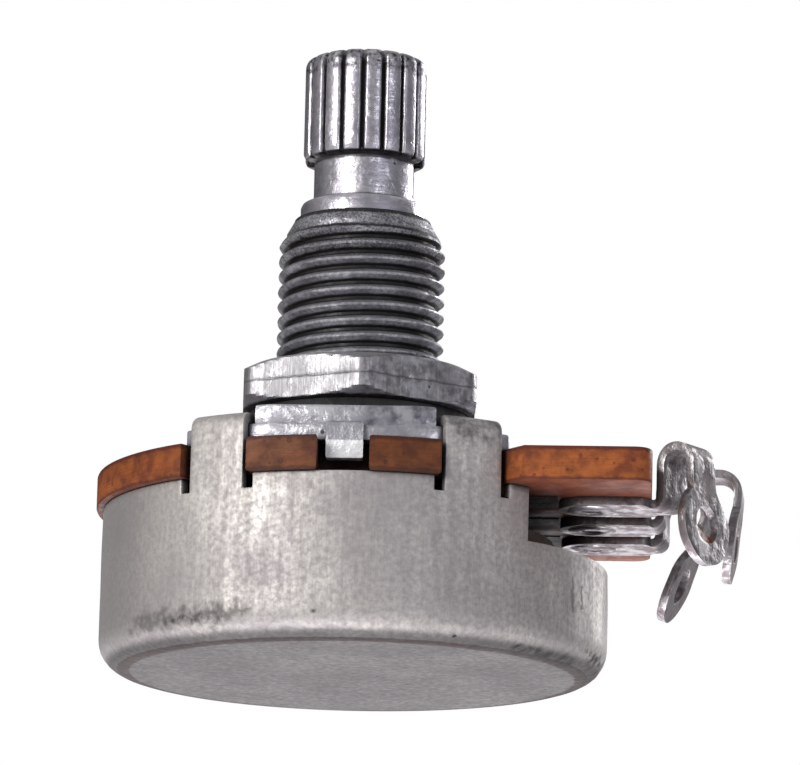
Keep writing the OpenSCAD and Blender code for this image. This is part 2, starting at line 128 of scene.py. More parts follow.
def bevelEdges(obj, width, angle=40):
    bevel = obj.modifiers.new("edges", "BEVEL")
    bevel.width = width * mm
    bevel.segments = 2
    bevel.limit_method = "ANGLE"
    bevel.angle_limit = math.radians(angle)


def arcPoints(cx, cy, r, start, end, steps):
    turns = [math.radians(start + (end - start) * i / steps) for i in range(steps + 1)]
    return [(cx + r * math.cos(t), cy + r * math.sin(t)) for t in turns]


def circlePoints(cx, cy, r, steps):
    return arcPoints(cx, cy, r, 0, 360, steps)[:-1]


def platePiece(loops, low, high, edgeRound):
    # a flat plate from closed outlines, with its edges rolled over a little
    curve = bpy.data.curves.new("outline", "CURVE")
    curve.dimensions = "2D"
    curve.fill_mode = "BOTH"
    for loop in loops:
        spline = curve.splines.new("POLY")
        spline.points.add(len(loop) - 1)
        for point, (x, y) in zip(spline.points, loop):
            point.co = (x * mm, y * mm, 0, 1)
        spline.use_cyclic_u = True
    curve.extrude = ((high - low) / 2 - edgeRound) * mm
    curve.bevel_depth = edgeRound * mm
    curve.bevel_resolution = 1
    curve.offset = -edgeRound * mm
    obj = addObject("outline", curve)
    mesh = evaluated(obj)
    mesh.transform(Matrix.Translation((0, 0, (low + high) / 2 * mm)))
    bpy.data.objects.remove(obj)
    return mesh


def lathe(profile, steps, radius=None, closed=False):
    # turns a list of (r, z) about the axis; radius(r, angle, z) may reshape each point
    verts, faces = [], []
    count = len(profile)
    for i in range(steps):
        a = 2 * math.pi * i / steps
        for r, z in profile:
            rr = radius(r, a, z) if radius else r
            verts.append((rr * math.cos(a), rr * math.sin(a), z))
    for i in range(steps):
        j = (i + 1) % steps
        for k in range(count if closed else count - 1):
            m = (k + 1) % count
            faces.append((i * count + k, j * count + k, j * count + m, i * count + m))
    return verts, faces


def joinMeshes(parts):
    # one mesh out of several, still in metres
    bm = bmesh.new()
    for part in parts:
        bm.from_mesh(part)
    mesh = bpy.data.meshes.new("joined")
    bm.to_mesh(mesh)
    bm.free()
    return mesh


# rear cover: drawn can with four tabs and a window

cover = {
    "radius": 12.0, "height": 7.6, "sheet": 0.5, "cornerRadius": 1.4, "edgeRound": 0.07,
    "tabAngles": (-119.6, -60.4, 60.4, 119.6), "tabHalfAngle": 6.94, "reliefAngle": 2.4, "reliefDepth": 0.7,
    "tabBendStart": 9.9, "tabBendRadius": 0.6, "tabTip": 9.3, "windowHalfAngle": 45.6, "sill": 5.1,
    # rings and columns of the sheet's mesh
    "backRings": (1.2, 3, 5, 7, 8.6, 9.8), "cornerSteps": 8, "bendSteps": 5, "tipRings": (10.7, 10.0),
    "wallRings": (1.9, 2.5, 3.1, 3.7, 4.3, 4.75, 5.55, 6.0, 6.45, 7.25, 8.2, 8.8, 9.4),
    "columnStep": 2.5, "columnGap": 0.9,
    # dents left by drawing, between two heights and outside a radius
    "dent": 0.035, "dentShift": -0.2, "dentScale": 0.35, "dentRise": 0.5,
    "dentLow": 0.6, "dentHigh": 9.6, "dentRadius": 11.4,
    # creases: angle, its change with each millimetre of height, width, height, reach and depth
    "creases": ((-31, -1.2, 1.6, 3.2, 1.1, 0.10), (-24, 0, 2.2, 1.6, 0.5, 0.06)),
}


def angleGap(a, b):
    return abs((a - b + 180) % 360 - 180)


def coverAngles(v):
    # the edges of tabs, reliefs and window, with even columns between them
    breaks = [v["windowHalfAngle"], -v["windowHalfAngle"]]
    for c in v["tabAngles"]:
        for reach in (v["tabHalfAngle"], v["tabHalfAngle"] + v["reliefAngle"]):
            breaks += [c - reach, c + reach]
    even = [i * v["columnStep"] - 180 for i in range(round(360 / v["columnStep"]))]
    return sorted(breaks + [a for a in even if min(angleGap(a, b) for b in breaks) > v["columnGap"]])


def coverRings(v):
    # radius and height of each ring, from the middle of the back to the tips of the tabs
    r, corner, bend, bendZ = v["radius"], v["cornerRadius"], v["tabBendRadius"], v["tabBendStart"]
    rings = [(ring, 0.0) for ring in v["backRings"]]
    for x, z in arcPoints(r - corner, corner, corner, -90, 0, v["cornerSteps"]):
        rings.append((x, z))
    heights = v["wallRings"] + (v["sill"], v["height"] - v["reliefDepth"], v["height"], bendZ)
    rings += [(r, z) for z in sorted(heights)]
    rings += arcPoints(r - bend, bendZ, bend, 0, 90, v["bendSteps"])[1:]
    return rings + [(ring, bendZ + bend) for ring in v["tipRings"] + (v["tabTip"],)]


def dentPush(v, a, x, y, z):
    scale = v["dentScale"]
    push = v["dent"] * (noise.noise((x * scale, y * scale, z * v["dentRise"])) + v["dentShift"])
    for angle, lean, width, height, reach, depth in v["creases"]:
        push -= depth * math.exp(-((a - angle - lean * z) / width) ** 2 - ((z - height) / reach) ** 2)
    return min(push, 0)


def buildCover(v):
    angles, rings = coverAngles(v), coverRings(v)
    n, tabHalf = len(angles), v["tabHalfAngle"]
    verts = [(0, 0, 0)]
    for r, z in rings:
        for a in angles:
            t = math.radians(a)
            push = 0
            if v["dentLow"] < z < v["dentHigh"] and r > v["dentRadius"]:
                push = dentPush(v, a, r * math.cos(t), r * math.sin(t), z)
            verts.append(((r + push) * math.cos(t), (r + push) * math.sin(t), z))
    faces = [(0, 1 + (j + 1) % n, 1 + j) for j in range(n)]
    wallStart = len(v["backRings"]) + v["cornerSteps"]
    for i in range(len(rings) - 1):
        (lowR, lowZ), (highR, highZ) = rings[i], rings[i + 1]
        z = (lowZ + highZ) / 2
        onWall = i >= wallStart
        onTab = highZ > v["height"] or highR < v["radius"] and onWall
        for j in range(n):
            k = (j + 1) % n
            mid = (angles[j] + angles[k] + (360 if k == 0 else 0)) / 2
            tabGap = min(angleGap(mid, c) for c in v["tabAngles"])
            inWindow = z > v["sill"] and angleGap(mid, 0) < v["windowHalfAngle"]
            inRelief = z > v["height"] - v["reliefDepth"] and tabHalf < tabGap < tabHalf + v["reliefAngle"]
            if onTab and tabGap > tabHalf or onWall and not onTab and (inWindow or inRelief):
                continue
            p = 1 + i * n
            faces.append((p + j, p + k, p + n + k, p + n + j))
    obj = addPiece("rearCoverSheet", verts, faces, "housing")
    thicken(obj, v["sheet"], -1)
    bevelEdges(obj, v["edgeRound"], 50)
    return applyModifiers(obj, 40)


rearCover = buildCover(cover)
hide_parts("rear_cover")
print("rear cover drawn")


# terminal board, punched from laminate

board = {
    "radius": 12.3, "low": 7.6, "high": 9.2, "reach": 14.0, "tongueHalf": 10.4, "corner": 0.8,
    "notchRadius": 11.4, "notchHalfAngle": 8.37, "keyHalf": 1.2, "keyDepth": 9.85,
    "centreHole": 4.3, "rivetX": 11.2, "rivetHole": 0.85, "pitch": 5.0, "edgeRound": 0.1,
}


def boardOutline(v):
    # upper half, from the tongue round to the back, then mirrored
    c, half, reach, r, inner = v["corner"], v["tongueHalf"], v["reach"], v["radius"], v["notchRadius"]
    (first, second), notch = cover["tabAngles"][2:], v["notchHalfAngle"]
    points = arcPoints(reach - c, half - c, c, 0, 90, 6)
    points.append((half / math.tan(math.radians(first - notch)), half))
    points += arcPoints(0, 0, inner, first - notch, first + notch, 6)
    keyAngle = math.degrees(math.acos(v["keyHalf"] / r))
    points += arcPoints(0, 0, r, first + notch, keyAngle, 8)
    points += [(v["keyHalf"], v["keyDepth"]), (-v["keyHalf"], v["keyDepth"])]
    points += arcPoints(0, 0, r, 180 - keyAngle, second - notch, 8)
    points += arcPoints(0, 0, inner, second - notch, second + notch, 6)
    points += arcPoints(0, 0, r, second + notch, 180, 26)
    return points + [(x, -y) for x, y in reversed(points[:-1])]


def buildBoard(v):
    loops = [boardOutline(v), circlePoints(0, 0, v["centreHole"], 72)]
    loops += [circlePoints(v["rivetX"], row * v["pitch"], v["rivetHole"], 24) for row in (-1, 0, 1)]
    return addMesh("terminalBoardSheet", platePiece(loops, v["low"], v["high"], v["edgeRound"]), "housing")


terminalBoard = buildBoard(board)
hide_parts("terminal_board")
print("terminal board punched")


# bushing plate, with its cut thread

plate = {
    "low": 9.2, "ledge": 10.0, "top": 10.85, "edgeRadius": 11.4, "front": 10.9, "sideHalf": 7.39,
    "padRadius": 7.3, "padHalf": 4.63, "padSink": 0.12, "tabRoom": 9.0, "recess": 6.4, "lugInner": 4.9,
    "lugHalfAngle": 15, "keyHalf": 0.85, "keyFront": 11.15, "keyDepth": 0.7, "keyLow": 8.3, "keyRound": 0.1,
    "bossRadius": 5.3, "bossTop": 11.75, "bossStep": 0.25, "bore": 3.04, "edgeRound": 0.12, "overlap": 0.1,
}
thread = {
    "pitch": 0.75, "crest": 4.0, "root": 3.56, "low": 11.75, "top": 22.0, "lead": 1.35, "leadRadius": 3.25,
    "lip": 0.06, "boreLow": 10.0, "columns": 144, "wear": 0.035, "wearScale": 3, "wearRise": 2.2,
    # share of the pitch and height of each point of a turn
    "profile": ((0.0, 0.0), (0.08, 0.0), (0.24, 0.55), (0.42, 0.95), (0.50, 1.0), (0.58, 0.95), (0.76, 0.55),
                (0.92, 0.0)),
    "nicks": 26, "nickAngle": (0, 6.28), "nickHeight": (14.5, 20.5), "nickSize": (0.05, 0.16), "seed": 4,
}


def mirrorQuarter(points):
    # a quarter outline from +X towards +Y becomes the whole outline
    half = points + [(-x, y) for x, y in reversed(points)]
    return half + [(x, -y) for x, y in reversed(half)]


def angleAt(x, r):
    return math.degrees(math.acos(x / r))


def plateQuarter(v, wide):
    r, pad, side = v["edgeRadius"], v["padRadius"], v["sideHalf"]
    endAngle = angleAt(math.sqrt(r * r - v["front"] ** 2), r)
    if wide:
        return [(side, 0.0)] + arcPoints(0, 0, r, angleAt(side, r), endAngle, 6)
    tabEdge = cover["tabAngles"][2] + board["notchHalfAngle"]
    points = arcPoints(0, 0, pad, 0, angleAt(v["padHalf"], pad), 14)
    points += arcPoints(0, 0, v["tabRoom"], angleAt(v["padHalf"], v["tabRoom"]), tabEdge, 4)
    return points + arcPoints(0, 0, r, tabEdge, endAngle, 3)


def threadRadius(v, nicks, height, a, z):
    # worn and nicked crests, turned down to a lead at the top
    scale, crest = v["wearScale"], v["crest"]
    r = v["root"] + (crest - v["root"]) * height
    rough = noise.noise((math.cos(a) * scale, math.sin(a) * scale, z * v["wearRise"]))
    r -= v["wear"] * height * (0.5 + rough)
    for nickA, nickZ, size in nicks:
        gap = math.hypot((a - nickA) * crest, z - nickZ)
        if gap < size * 3:
            r -= height * size * math.exp(-(gap / size) ** 2)
    fall = max(0, z - v["top"] + v["lead"]) / v["lead"]
    return min(r, crest - (crest - v["leadRadius"]) * fall)


def buildThread(v, bore):
    # a helical tube: every column is the profile, lifted a little more than the one before
    steps, profile = v["columns"], v["profile"]
    m = len(profile)
    count = (int((v["top"] - v["low"]) / v["pitch"]) + 3) * m
    rng = random.Random(v["seed"])
    nicks = [(rng.uniform(*v["nickAngle"]), rng.uniform(*v["nickHeight"]), rng.uniform(*v["nickSize"]))
             for i in range(v["nicks"])]
    verts, faces = [], []
    for j in range(steps):
        a = 2 * math.pi * j / steps
        for i in range(count):
            part, height = profile[i % m]
            z = v["low"] + (i // m - 1 + part + j / steps) * v["pitch"]
            z = min(max(z, v["low"]), v["top"])
            r = threadRadius(v, nicks, height, a, z)
            verts.append((r * math.cos(a), r * math.sin(a), z))
        shift = m if j == steps - 1 else 0
        near, far = j * count, (j + 1) % steps * count + shift
        faces += [(near + i, far + i, far + i + 1, near + i + 1) for i in range(count - 1 - shift)]
    lip, top = v["lip"], v["top"]
    mouth = [(v["leadRadius"] + 0.02, top), (bore + lip, top), (bore, top - lip), (bore, v["boreLow"])]
    return [meshFrom(verts, faces), meshFrom(*lathe(mouth, 96))]


def buildPlate(v, t):
    lug, half, boss, step = v["lugHalfAngle"], v["keyHalf"], v["bossRadius"], v["bossStep"]
    recess = arcPoints(0, 0, v["recess"], lug, 360 - lug, 60)
    recess += arcPoints(0, 0, v["lugInner"], 360 - lug, 360 + lug, 8)
    ledge = [mirrorQuarter(plateQuarter(v, True)), recess]
    pad = [mirrorQuarter(plateQuarter(v, False)), circlePoints(0, 0, v["bore"], 72)]
    parts = [platePiece(ledge, v["low"], v["ledge"], v["edgeRound"]),
             platePiece(pad, v["ledge"] - v["padSink"], v["top"], v["edgeRound"])]
    for side in (-1, 1):
        near, far = side * (v["keyFront"] - v["keyDepth"]), side * v["keyFront"]
        loop = [(-half, near), (half, near), (half, far), (-half, far)]
        parts.append(platePiece([loop[::side]], v["keyLow"], v["ledge"], v["keyRound"]))
    rise = [(boss, v["top"] - v["overlap"]), (boss, v["bossTop"] - step), (boss - step, v["bossTop"]),
            (t["root"] - v["overlap"], v["bossTop"])]
    parts.append(meshFrom(*lathe(rise, 96)))
    return addMesh("bushingPlateCast", joinMeshes(parts + buildThread(t, v["bore"])), "housing", 30)


bushingPlate = buildPlate(plate, thread)
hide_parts("bushing_plate")
print("bushing plate cast, thread cut")


# terminals: bent strips with solder eyes

strip = {
    "z": 7.4, "thickness": 0.4, "half": 1.5, "neckHalf": 0.95, "rivetX": 11.2, "reach": 14.0, "gap": 0.2,
    "lowBend": 0.35, "topBend": 0.95, "eyeRadius": 1.9, "hole": 0.9, "edgeRound": 0.07, "pitch": 5.0,
    # distance out and half width where the strip narrows, and where its twist starts
    "taper": ((12.2, 1.5), (13.2, 1.5), (13.7, 1.5), (13.9, 1.4), (14.0, 1.15), (14.1, 0.95)), "twistX": 13.2,
    "across": 8, "waveScale": 0.9,
}
lugs = {
    "near": {"row": -1, "turn": 33, "span": 1.6, "rise": 9.3, "lean": -4, "leg": 2.95, "wave": 0.05},
    "middle": {"row": 0, "turn": 4, "span": 3.7, "rise": 8.85, "lean": 8, "leg": 2.15, "wave": 0.04},
    "far": {"row": 1, "turn": 10, "span": 2.2, "rise": 8.8, "lean": 24, "leg": 3.2, "wave": 0.05},
}


def lugLine(v, lug):
    # how far out the leg stands, the angles of the bends, and where the eye's middle is
    turn, lean = math.radians(lug["turn"]), math.radians(lug["lean"])
    legX = v["reach"] + v["gap"] + v["neckHalf"] * math.sin(turn) + v["thickness"] / 2 * math.cos(turn)
    r = min(v["topBend"], lug["span"] / 2)
    start = (lug["span"] - r + r * math.cos(lean), lug["rise"] - r * math.sin(lean))
    centre = (start[0] - lug["leg"] * math.sin(lean), start[1] - lug["leg"] * math.cos(lean))
    return legX, turn, lean, r, start, centre


def lugRows(v, lug):
    # each row: how far out from the leg, height, half width, share of the turn
    legX, turn, lean, r, start, centre = lugLine(v, lug)
    z, neck, b, eye, leg = v["z"], v["neckHalf"], v["lowBend"], v["eyeRadius"], lug["leg"]
    rows = []
    for i in range(9):
        t = math.pi / 2 * i / 8
        x = v["rivetX"] - v["half"] * math.cos(t) * 0.999
        rows.append((x - legX, z, max(v["half"] * math.sin(t), 0.05), 0))
    for x, half in v["taper"]:
        if x < legX - b - 0.05:
            rows.append((x - legX, z, half, max(0, (x - v["twistX"]) / (legX - v["twistX"])) ** 1.5))
    for i, (x, y) in enumerate(arcPoints(-b, z + b, b, -90, 0, 5)):
        rows.append((x, y, neck, 1 if i else 0.9))
    rows.append((0, (z + lug["rise"]) / 2, neck, 1))
    rows += [(x, y, neck, 1) for x, y in arcPoints(r, lug["rise"], r, 180, 90, 8)]
    crown = lug["span"] - 2 * r
    if crown > 0.2:
        rows.append((r + crown / 2, lug["rise"] + r, neck, 1))
    fall = arcPoints(lug["span"] - r, lug["rise"], r, 90, -lug["lean"], 9)
    rows += [(x, y, neck, 1) for x, y in fall[1 if crown < 0.01 else 0:]]
    eyeStart = leg - math.sqrt(eye ** 2 - neck ** 2)
    steps = [eyeStart * i / 4 for i in range(1, 4)]
    steps += [leg - eye * math.cos(math.radians(30 + 150 * i / 20)) for i in range(21)]
    for s in steps:
        half = neck if s < eyeStart else math.sqrt(max(eye ** 2 - (s - leg) ** 2, 0.0025))
        rows.append((start[0] - s * math.sin(lean), start[1] - s * math.cos(lean), half, 1))
    return rows


def eyePlace(lug, unit):
    # the middle of a lug's eye, with X along its hole
    legX, turn, lean, r, start, centre = lugLine(strip, lug)
    foot = Matrix.Translation((legX * unit, lug["row"] * strip["pitch"] * unit, 0))
    eye = Matrix.Translation((centre[0] * unit, 0, centre[1] * unit))
    return foot @ Matrix.Rotation(-turn, 4, "Z") @ eye @ Matrix.Rotation(lean, 4, "Y")


def buildPunch(v, lug, steps=32):
    # a round bar that punches the eye square to the strip
    verts = [(end, x, z) for x, z in circlePoints(0, 0, v["hole"], steps) for end in (-1, 1)]
    faces = [(2 * i, 2 * i + 2, 2 * i + 3, 2 * i + 1) for i in range(steps - 1)]
    faces += [(2 * steps - 2, 0, 1, 2 * steps - 1)]
    faces += [tuple(range(2 * steps - 2, -1, -2)), tuple(range(1, 2 * steps, 2))]
    punch = addObject("punch", meshFrom(verts, faces))
    punch.matrix_world = eyePlace(lug, mm)
    return punch


def buildLug(name, v, lug):
    legX, turn = lugLine(v, lug)[:2]
    rows, across, y0 = lugRows(v, lug), v["across"], lug["row"] * v["pitch"]
    verts, faces = [], []
    for u, z, half, share in rows:
        a = turn * share
        wave = lug["wave"] * noise.noise((u * v["waveScale"], z * v["waveScale"], lug["row"] * 3.1))
        standing = u > 0
        for k in range(across + 1):
            w = half * (2 * k / across - 1)
            x = u * math.cos(turn) + wave * math.cos(turn) if standing else u
            y = -u * math.sin(turn) - wave * math.sin(turn) if standing else 0
            verts.append((legX + x + w * math.sin(a), y0 + y + w * math.cos(a), z))
    n = across + 1
    for i in range(len(rows) - 1):
        p = i * n
        faces += [(p + k, p + k + 1, p + n + k + 1, p + n + k) for k in range(across)]
    obj = addPiece("terminal_%s_strip" % name, verts, faces, "housing")
    thicken(obj, v["thickness"], 0)
    punch = buildPunch(v, lug)
    cutWith(obj, punch)
    bevelEdges(obj, v["edgeRound"])
    applyModifiers(obj, 40)
    bpy.data.objects.remove(punch)
    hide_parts("terminal_" + name)
    return obj


terminals = [buildLug(name, strip, lug) for name, lug in lugs.items()]

rivet = {"head": 1.15, "headHeight": 0.11, "shank": 0.75, "hole": 0.45, "low": 7.2, "high": 9.2,
         "topHead": 1.3, "topHeight": 0.2, "roll": 0.12}


def buildRivet(name, v, lug):
    low, high = v["low"] - v["headHeight"], v["high"] + v["topHeight"]
    hole, head, top, roll = v["hole"], v["head"], v["topHead"], v["roll"]
    profile = [(hole, low + 0.08), (hole + roll, low), (head - 0.35, low), (head - 0.1, low + 0.04),
               (head, v["low"]), (v["shank"], v["low"]), (v["shank"], v["high"]), (top, v["high"]),
               (top - 0.04, high - 0.08), (top - 0.2, high), (hole + roll, high), (hole, high - roll)]
    verts, faces = lathe(profile, 40, closed=True)
    x0, y0 = strip["rivetX"], lug["row"] * strip["pitch"]
    moved = [(x + x0, y + y0, z) for x, y, z in verts]
    obj = addPiece("rivet_%s_rolled" % name, moved, faces, "housing", 40)
    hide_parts("eyelet_" + name)
    return obj


rivets = [buildRivet(name, rivet, lug) for name, lug in lugs.items()]

fluxTrace = {"lug": "near", "start": 165, "end": 330, "depth": 0.55, "thickness": 0.16, "steps": 16}


def buildFlux(v):
    # a crescent of old flux left low in one solder eye
    lug, steps, mid = lugs[v["lug"]], v["steps"], math.radians((v["start"] + v["end"]) / 2)
    outer = arcPoints(0, 0, strip["hole"] + 0.02, v["start"], v["end"], steps)
    verts, faces = [], []
    for side in (-v["thickness"] / 2, v["thickness"] / 2):
        for i, (x, y) in enumerate(outer):
            reach = v["depth"] * math.sin(math.pi * i / steps)
            for share, out in ((0, side), (0.5, side * 0.6), (1, math.copysign(0.02, side))):
                verts.append((out, x - share * reach * math.cos(mid), y - share * reach * math.sin(mid)))
    half = 3 * len(outer)
    for i in range(steps):
        a, b = 3 * i, 3 * i + 3
        for k in range(2):
            faces += [(a + k, a + k + 1, b + k + 1, b + k),
                      (half + a + k, half + b + k, half + b + k + 1, half + a + k + 1)]
        faces += [(a, b, half + b, half + a), (a + 2, half + a + 2, half + b + 2, b + 2)]
    place = eyePlace(lug, 1)
    return addPiece("flux_trace", [tuple(place @ Vector(p)) for p in verts], faces, "housing", 60)


flux = buildFlux(fluxTrace)
print("terminals bent and riveted")


# control shaft: turned, knurled and split

shaft = {
    "radius": 3.0, "collarLow": 22.0, "collarTop": 22.85, "collarRound": 0.22, "neck": 2.42, "neckTop": 24.9,
    "top": 30.0, "teeth": 18, "grooveDepth": 0.3, "grooveHalfAngle": 3.6, "grooveWear": 0.12,
    "crestDip": 0.03, "round": 0.55, "slot": 1.0, "slotBottom": 23.15, "cut": 21.9,
}


def shaftProfile(v):
    # the turned outline above the cut, from the axis out and up to the end
    r, top, rnd, edge, neck = v["radius"], v["top"], v["round"], v["collarRound"], v["neck"]
    collar, base = v["collarTop"], v["neckTop"]
    points = [(0, v["cut"]), (r, v["cut"]), (r, v["collarLow"] + 0.05), (r, collar - edge),
              (r - 0.07, collar - 0.07), (r - edge, collar), (neck + 0.05, collar), (neck, collar + 0.05)]
    points += [(neck, collar + 0.5 * i) for i in range(1, 4)]
    points += [(neck, base - 0.06), (neck + 0.06, base), (r - 0.3, base + 0.02), (r - 0.08, base + 0.12)]
    points += [(r, base + 0.3 + (top - rnd - base - 0.3) * i / 8) for i in range(9)]
    for i in range(1, 6):
        t = math.pi / 2 * i / 6
        points.append((r - rnd * (1 - math.cos(t)) * 0.85, top - rnd + rnd * math.sin(t)))
    return points + [(r - rnd, top), (1.2, top), (0, top)]


def buildShaft(v):
    pitch, half, base = 360 / v["teeth"], v["grooveHalfAngle"], v["neckTop"]

    def knurl(rr, a, z):
        if z < base + 0.02 or rr < 2.0:
            return rr
        d = math.degrees(a) % pitch - pitch / 2      # grooves stand half a pitch from the X axis
        wear = noise.noise((math.cos(a) * 5, math.sin(a) * 5, z * 0.8))
        depth = v["grooveDepth"] * (1 + v["grooveWear"] * wear)
        if abs(d) < half:
            dip = depth * (0.5 + 0.5 * math.cos(math.pi * d / half)) ** 0.7
        else:
            dip = v["crestDip"] * ((abs(d) - half) / (pitch / 2 - half) - 1) ** 2
        fade = min(1, max(0, (z - base) / 0.15))
        return rr - dip * fade * min(1, max(0, (rr - 2.2) / 0.8))

    def cutOff(bm):
        bmesh.ops.remove_doubles(bm, verts=bm.verts, dist=seamGap * mm)
        everything = bm.verts[:] + bm.edges[:] + bm.faces[:]
        bmesh.ops.bisect_plane(bm, geom=everything, plane_co=(0, 0, v["cut"] * mm), plane_no=(0, 0, 1),
                               clear_outer=True)

    def close(bm):
        bmesh.ops.remove_doubles(bm, verts=bm.verts, dist=seamGap * mm)
        bmesh.ops.recalc_face_normals(bm, faces=bm.faces)

    lower = rework(bareCopy("control_shaft"), cutOff)
    upper = rework(meshFrom(*lathe(shaftProfile(v), 360, knurl)), close)
    obj = addObject("controlShaftTurned", upper)
    wide, side = v["radius"] + 1, v["slot"] / 2
    saw = addObject("saw", meshFrom(
        [(x, y, z) for x in (-wide, wide) for y in (-side, side) for z in (v["slotBottom"], v["top"] + 1)],
        [(0, 1, 3, 2), (4, 6, 7, 5), (0, 4, 5, 1), (2, 3, 7, 6), (0, 2, 6, 4), (1, 5, 7, 3)]))
    cutWith(obj, saw)
    applyModifiers(obj, 30)
    bpy.data.objects.remove(saw)
    obj.data = joinMeshes([obj.data, lower])
    smoothMesh(obj.data, 30)
    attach(obj, "shaft")
    return obj


controlShaft = buildShaft(shaft)
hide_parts("control_shaft")
print("shaft turned and knurled")


# hex nut and lock washer

nut = {
    "flats": 11.0, "low": 12.35, "height": 2.2, "turn": 4.5, "bore": 4.05, "sink": 0.3,
    "cornerRadius": 6.22, "chamfer": 0.45, "faceRadius": 5.35, "seam": 0.02, "seamWidth": 0.05, "blend": 0.06,
    "rings": (0, 0.06, 0.14, 0.24, 0.34, 0.45, 0.6, 0.9, 1.02, 1.06, 1.1),
}
washer = {"edgeRound": 0.06, "flatAngle": 1}


def buildNut(v):
    low, high, sink = v["low"], v["low"] + v["height"], v["sink"]
    outer, face = v["cornerRadius"], v["faceRadius"]
    profile = [(v["bore"], low + sink), (v["bore"] + sink, low)]
    profile += [(outer, low + z) for z in v["rings"]] + [(outer, high - z) for z in v["rings"][-2::-1]]
    profile += [(v["bore"] + sink, high), (v["bore"], high - sink)]

    def hexagon(rr, a, z):
        if rr < 5:
            return rr
        d = (math.degrees(a) - v["turn"] + 90) % 60 - 30
        flat = v["flats"] / 2 / math.cos(math.radians(d))
        rise = min(z - low, high - z)
        cone = face + (outer - face) * min(1, rise / v["chamfer"])
        rounding = max(0, v["blend"] - abs(flat - cone)) ** 2 / (4 * v["blend"])
        seam = v["seam"] * math.exp(-((rise - v["height"] / 2) / v["seamWidth"]) ** 2)
        return min(flat, cone, outer) - rounding - seam

    verts, faces = lathe(profile, 360, hexagon, closed=True)
    return addPiece("hexNutPlated", verts, faces, "nut", 28)


def buildWasher(v):
    # the frame's own solid with its hard edges rolled over
    def flatten(bm):
        bmesh.ops.remove_doubles(bm, verts=bm.verts, dist=seamGap * mm)
        bmesh.ops.dissolve_limit(bm, angle_limit=math.radians(v["flatAngle"]), verts=bm.verts, edges=bm.edges)

    obj = addObject("lock_washer_finish", rework(bareCopy("lock_washer"), flatten))
    bevelEdges(obj, v["edgeRound"])
    applyModifiers(obj)
    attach(obj, "washer")
    return obj


hexNut = buildNut(nut)
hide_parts("hex_nut")
lockWasher = buildWasher(washer)
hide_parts("lock_washer")
print("nut and lock washer made")


# node helpers

def give(tree, socket, value):
    if isinstance(value, bpy.types.NodeSocket):
        tree.links.new(value, socket)
    else:
        socket.default_value = value


def put(tree, kind, **values):
    # a node with its inputs set or linked by name or by number (i0, i1), and its other settings by attribute
    node = tree.nodes.new("ShaderNode" + kind)
    for key, value in values.items():
        if hasattr(node, key) and key not in node.inputs:
            setattr(node, key, value)
        else:
            number = key[0] == "i" and key[1:].isdigit()
            give(tree, node.inputs[int(key[1:]) if number else key.replace("_", " ")], value)
    return node


def newGroup(name, inputs, outputs):
    # inputs maps each name to its first value, a number or a vector
    group = bpy.data.node_groups.new(name, "ShaderNodeTree")
    for label, value in inputs.items():
        kind = "NodeSocketVector" if isinstance(value, tuple) else "NodeSocketFloat"
        group.interface.new_socket(label, in_out="INPUT", socket_type=kind).default_value = value
    for label in outputs:
        group.interface.new_socket(label, in_out="OUTPUT", socket_type="NodeSocketFloat")
    return group, group.nodes.new("NodeGroupInput").outputs, group.nodes.new("NodeGroupOutput").inputs


def use(tree, group, **values):
    node = tree.nodes.new("ShaderNodeGroup")
    node.node_tree = group
    for key, value in values.items():
        give(tree, node.inputs[key], value)
    return node.outputs


def maths(tree, operation, *values, clamp=False):
    node = put(tree, "Math", operation=operation, use_clamp=clamp)
    for socket, value in zip(node.inputs, values):
        give(tree, socket, value)
    return node.outputs[0]


def vectorMaths(tree, operation, *values):
    node = put(tree, "VectorMath", operation=operation)
    for socket, value in zip(node.inputs, values):
        give(tree, socket, value)
    return node.outputs["Value" if operation in ("LENGTH", "DOT_PRODUCT") else "Vector"]


def spread(tree, value, low, high, toLow=0.0, toHigh=1.0, smooth=True):
    node = put(tree, "MapRange", interpolation_type="SMOOTHSTEP" if smooth else "LINEAR")
    for socket, number in zip(node.inputs, (value, low, high, toLow, toHigh)):
        give(tree, socket, number)
    return node.outputs[0]


def blendColours(tree, factor, a, b):
    node = put(tree, "Mix", data_type="RGBA", i0=factor)
    for index, colour in ((6, a), (7, b)):
        give(tree, node.inputs[index], colour if isinstance(colour, bpy.types.NodeSocket) else (*colour, 1))
    return node.outputs[2]


def layColours(tree, colour, layers):
    # lays each colour over the last, by a mask and an amount
    for mask, amount, over in layers:
        colour = blendColours(tree, maths(tree, "MULTIPLY", mask, amount), colour, over)
    return colour


def addUp(tree, value, layers):
    for mask, amount in layers:
        value = maths(tree, "MULTIPLY_ADD", mask, amount, value)
    return value


def stretched(tree, scale, size, seed):
    # object coordinates, stretched by scale, in units of size millimetres
    wide = vectorMaths(tree, "MULTIPLY", put(tree, "TexCoord").outputs["Object"], scale)
    sized = put(tree, "VectorMath", operation="SCALE", i0=wide, Scale=maths(tree, "DIVIDE", 1 / mm, size))
    sideways, down = maths(tree, "MULTIPLY", seed, 1.7), maths(tree, "MULTIPLY", seed, -0.6)
    shift = put(tree, "CombineXYZ", X=seed, Y=sideways, Z=down)
    return vectorMaths(tree, "ADD", sized.outputs[0], shift.outputs[0])


# shared surface effects

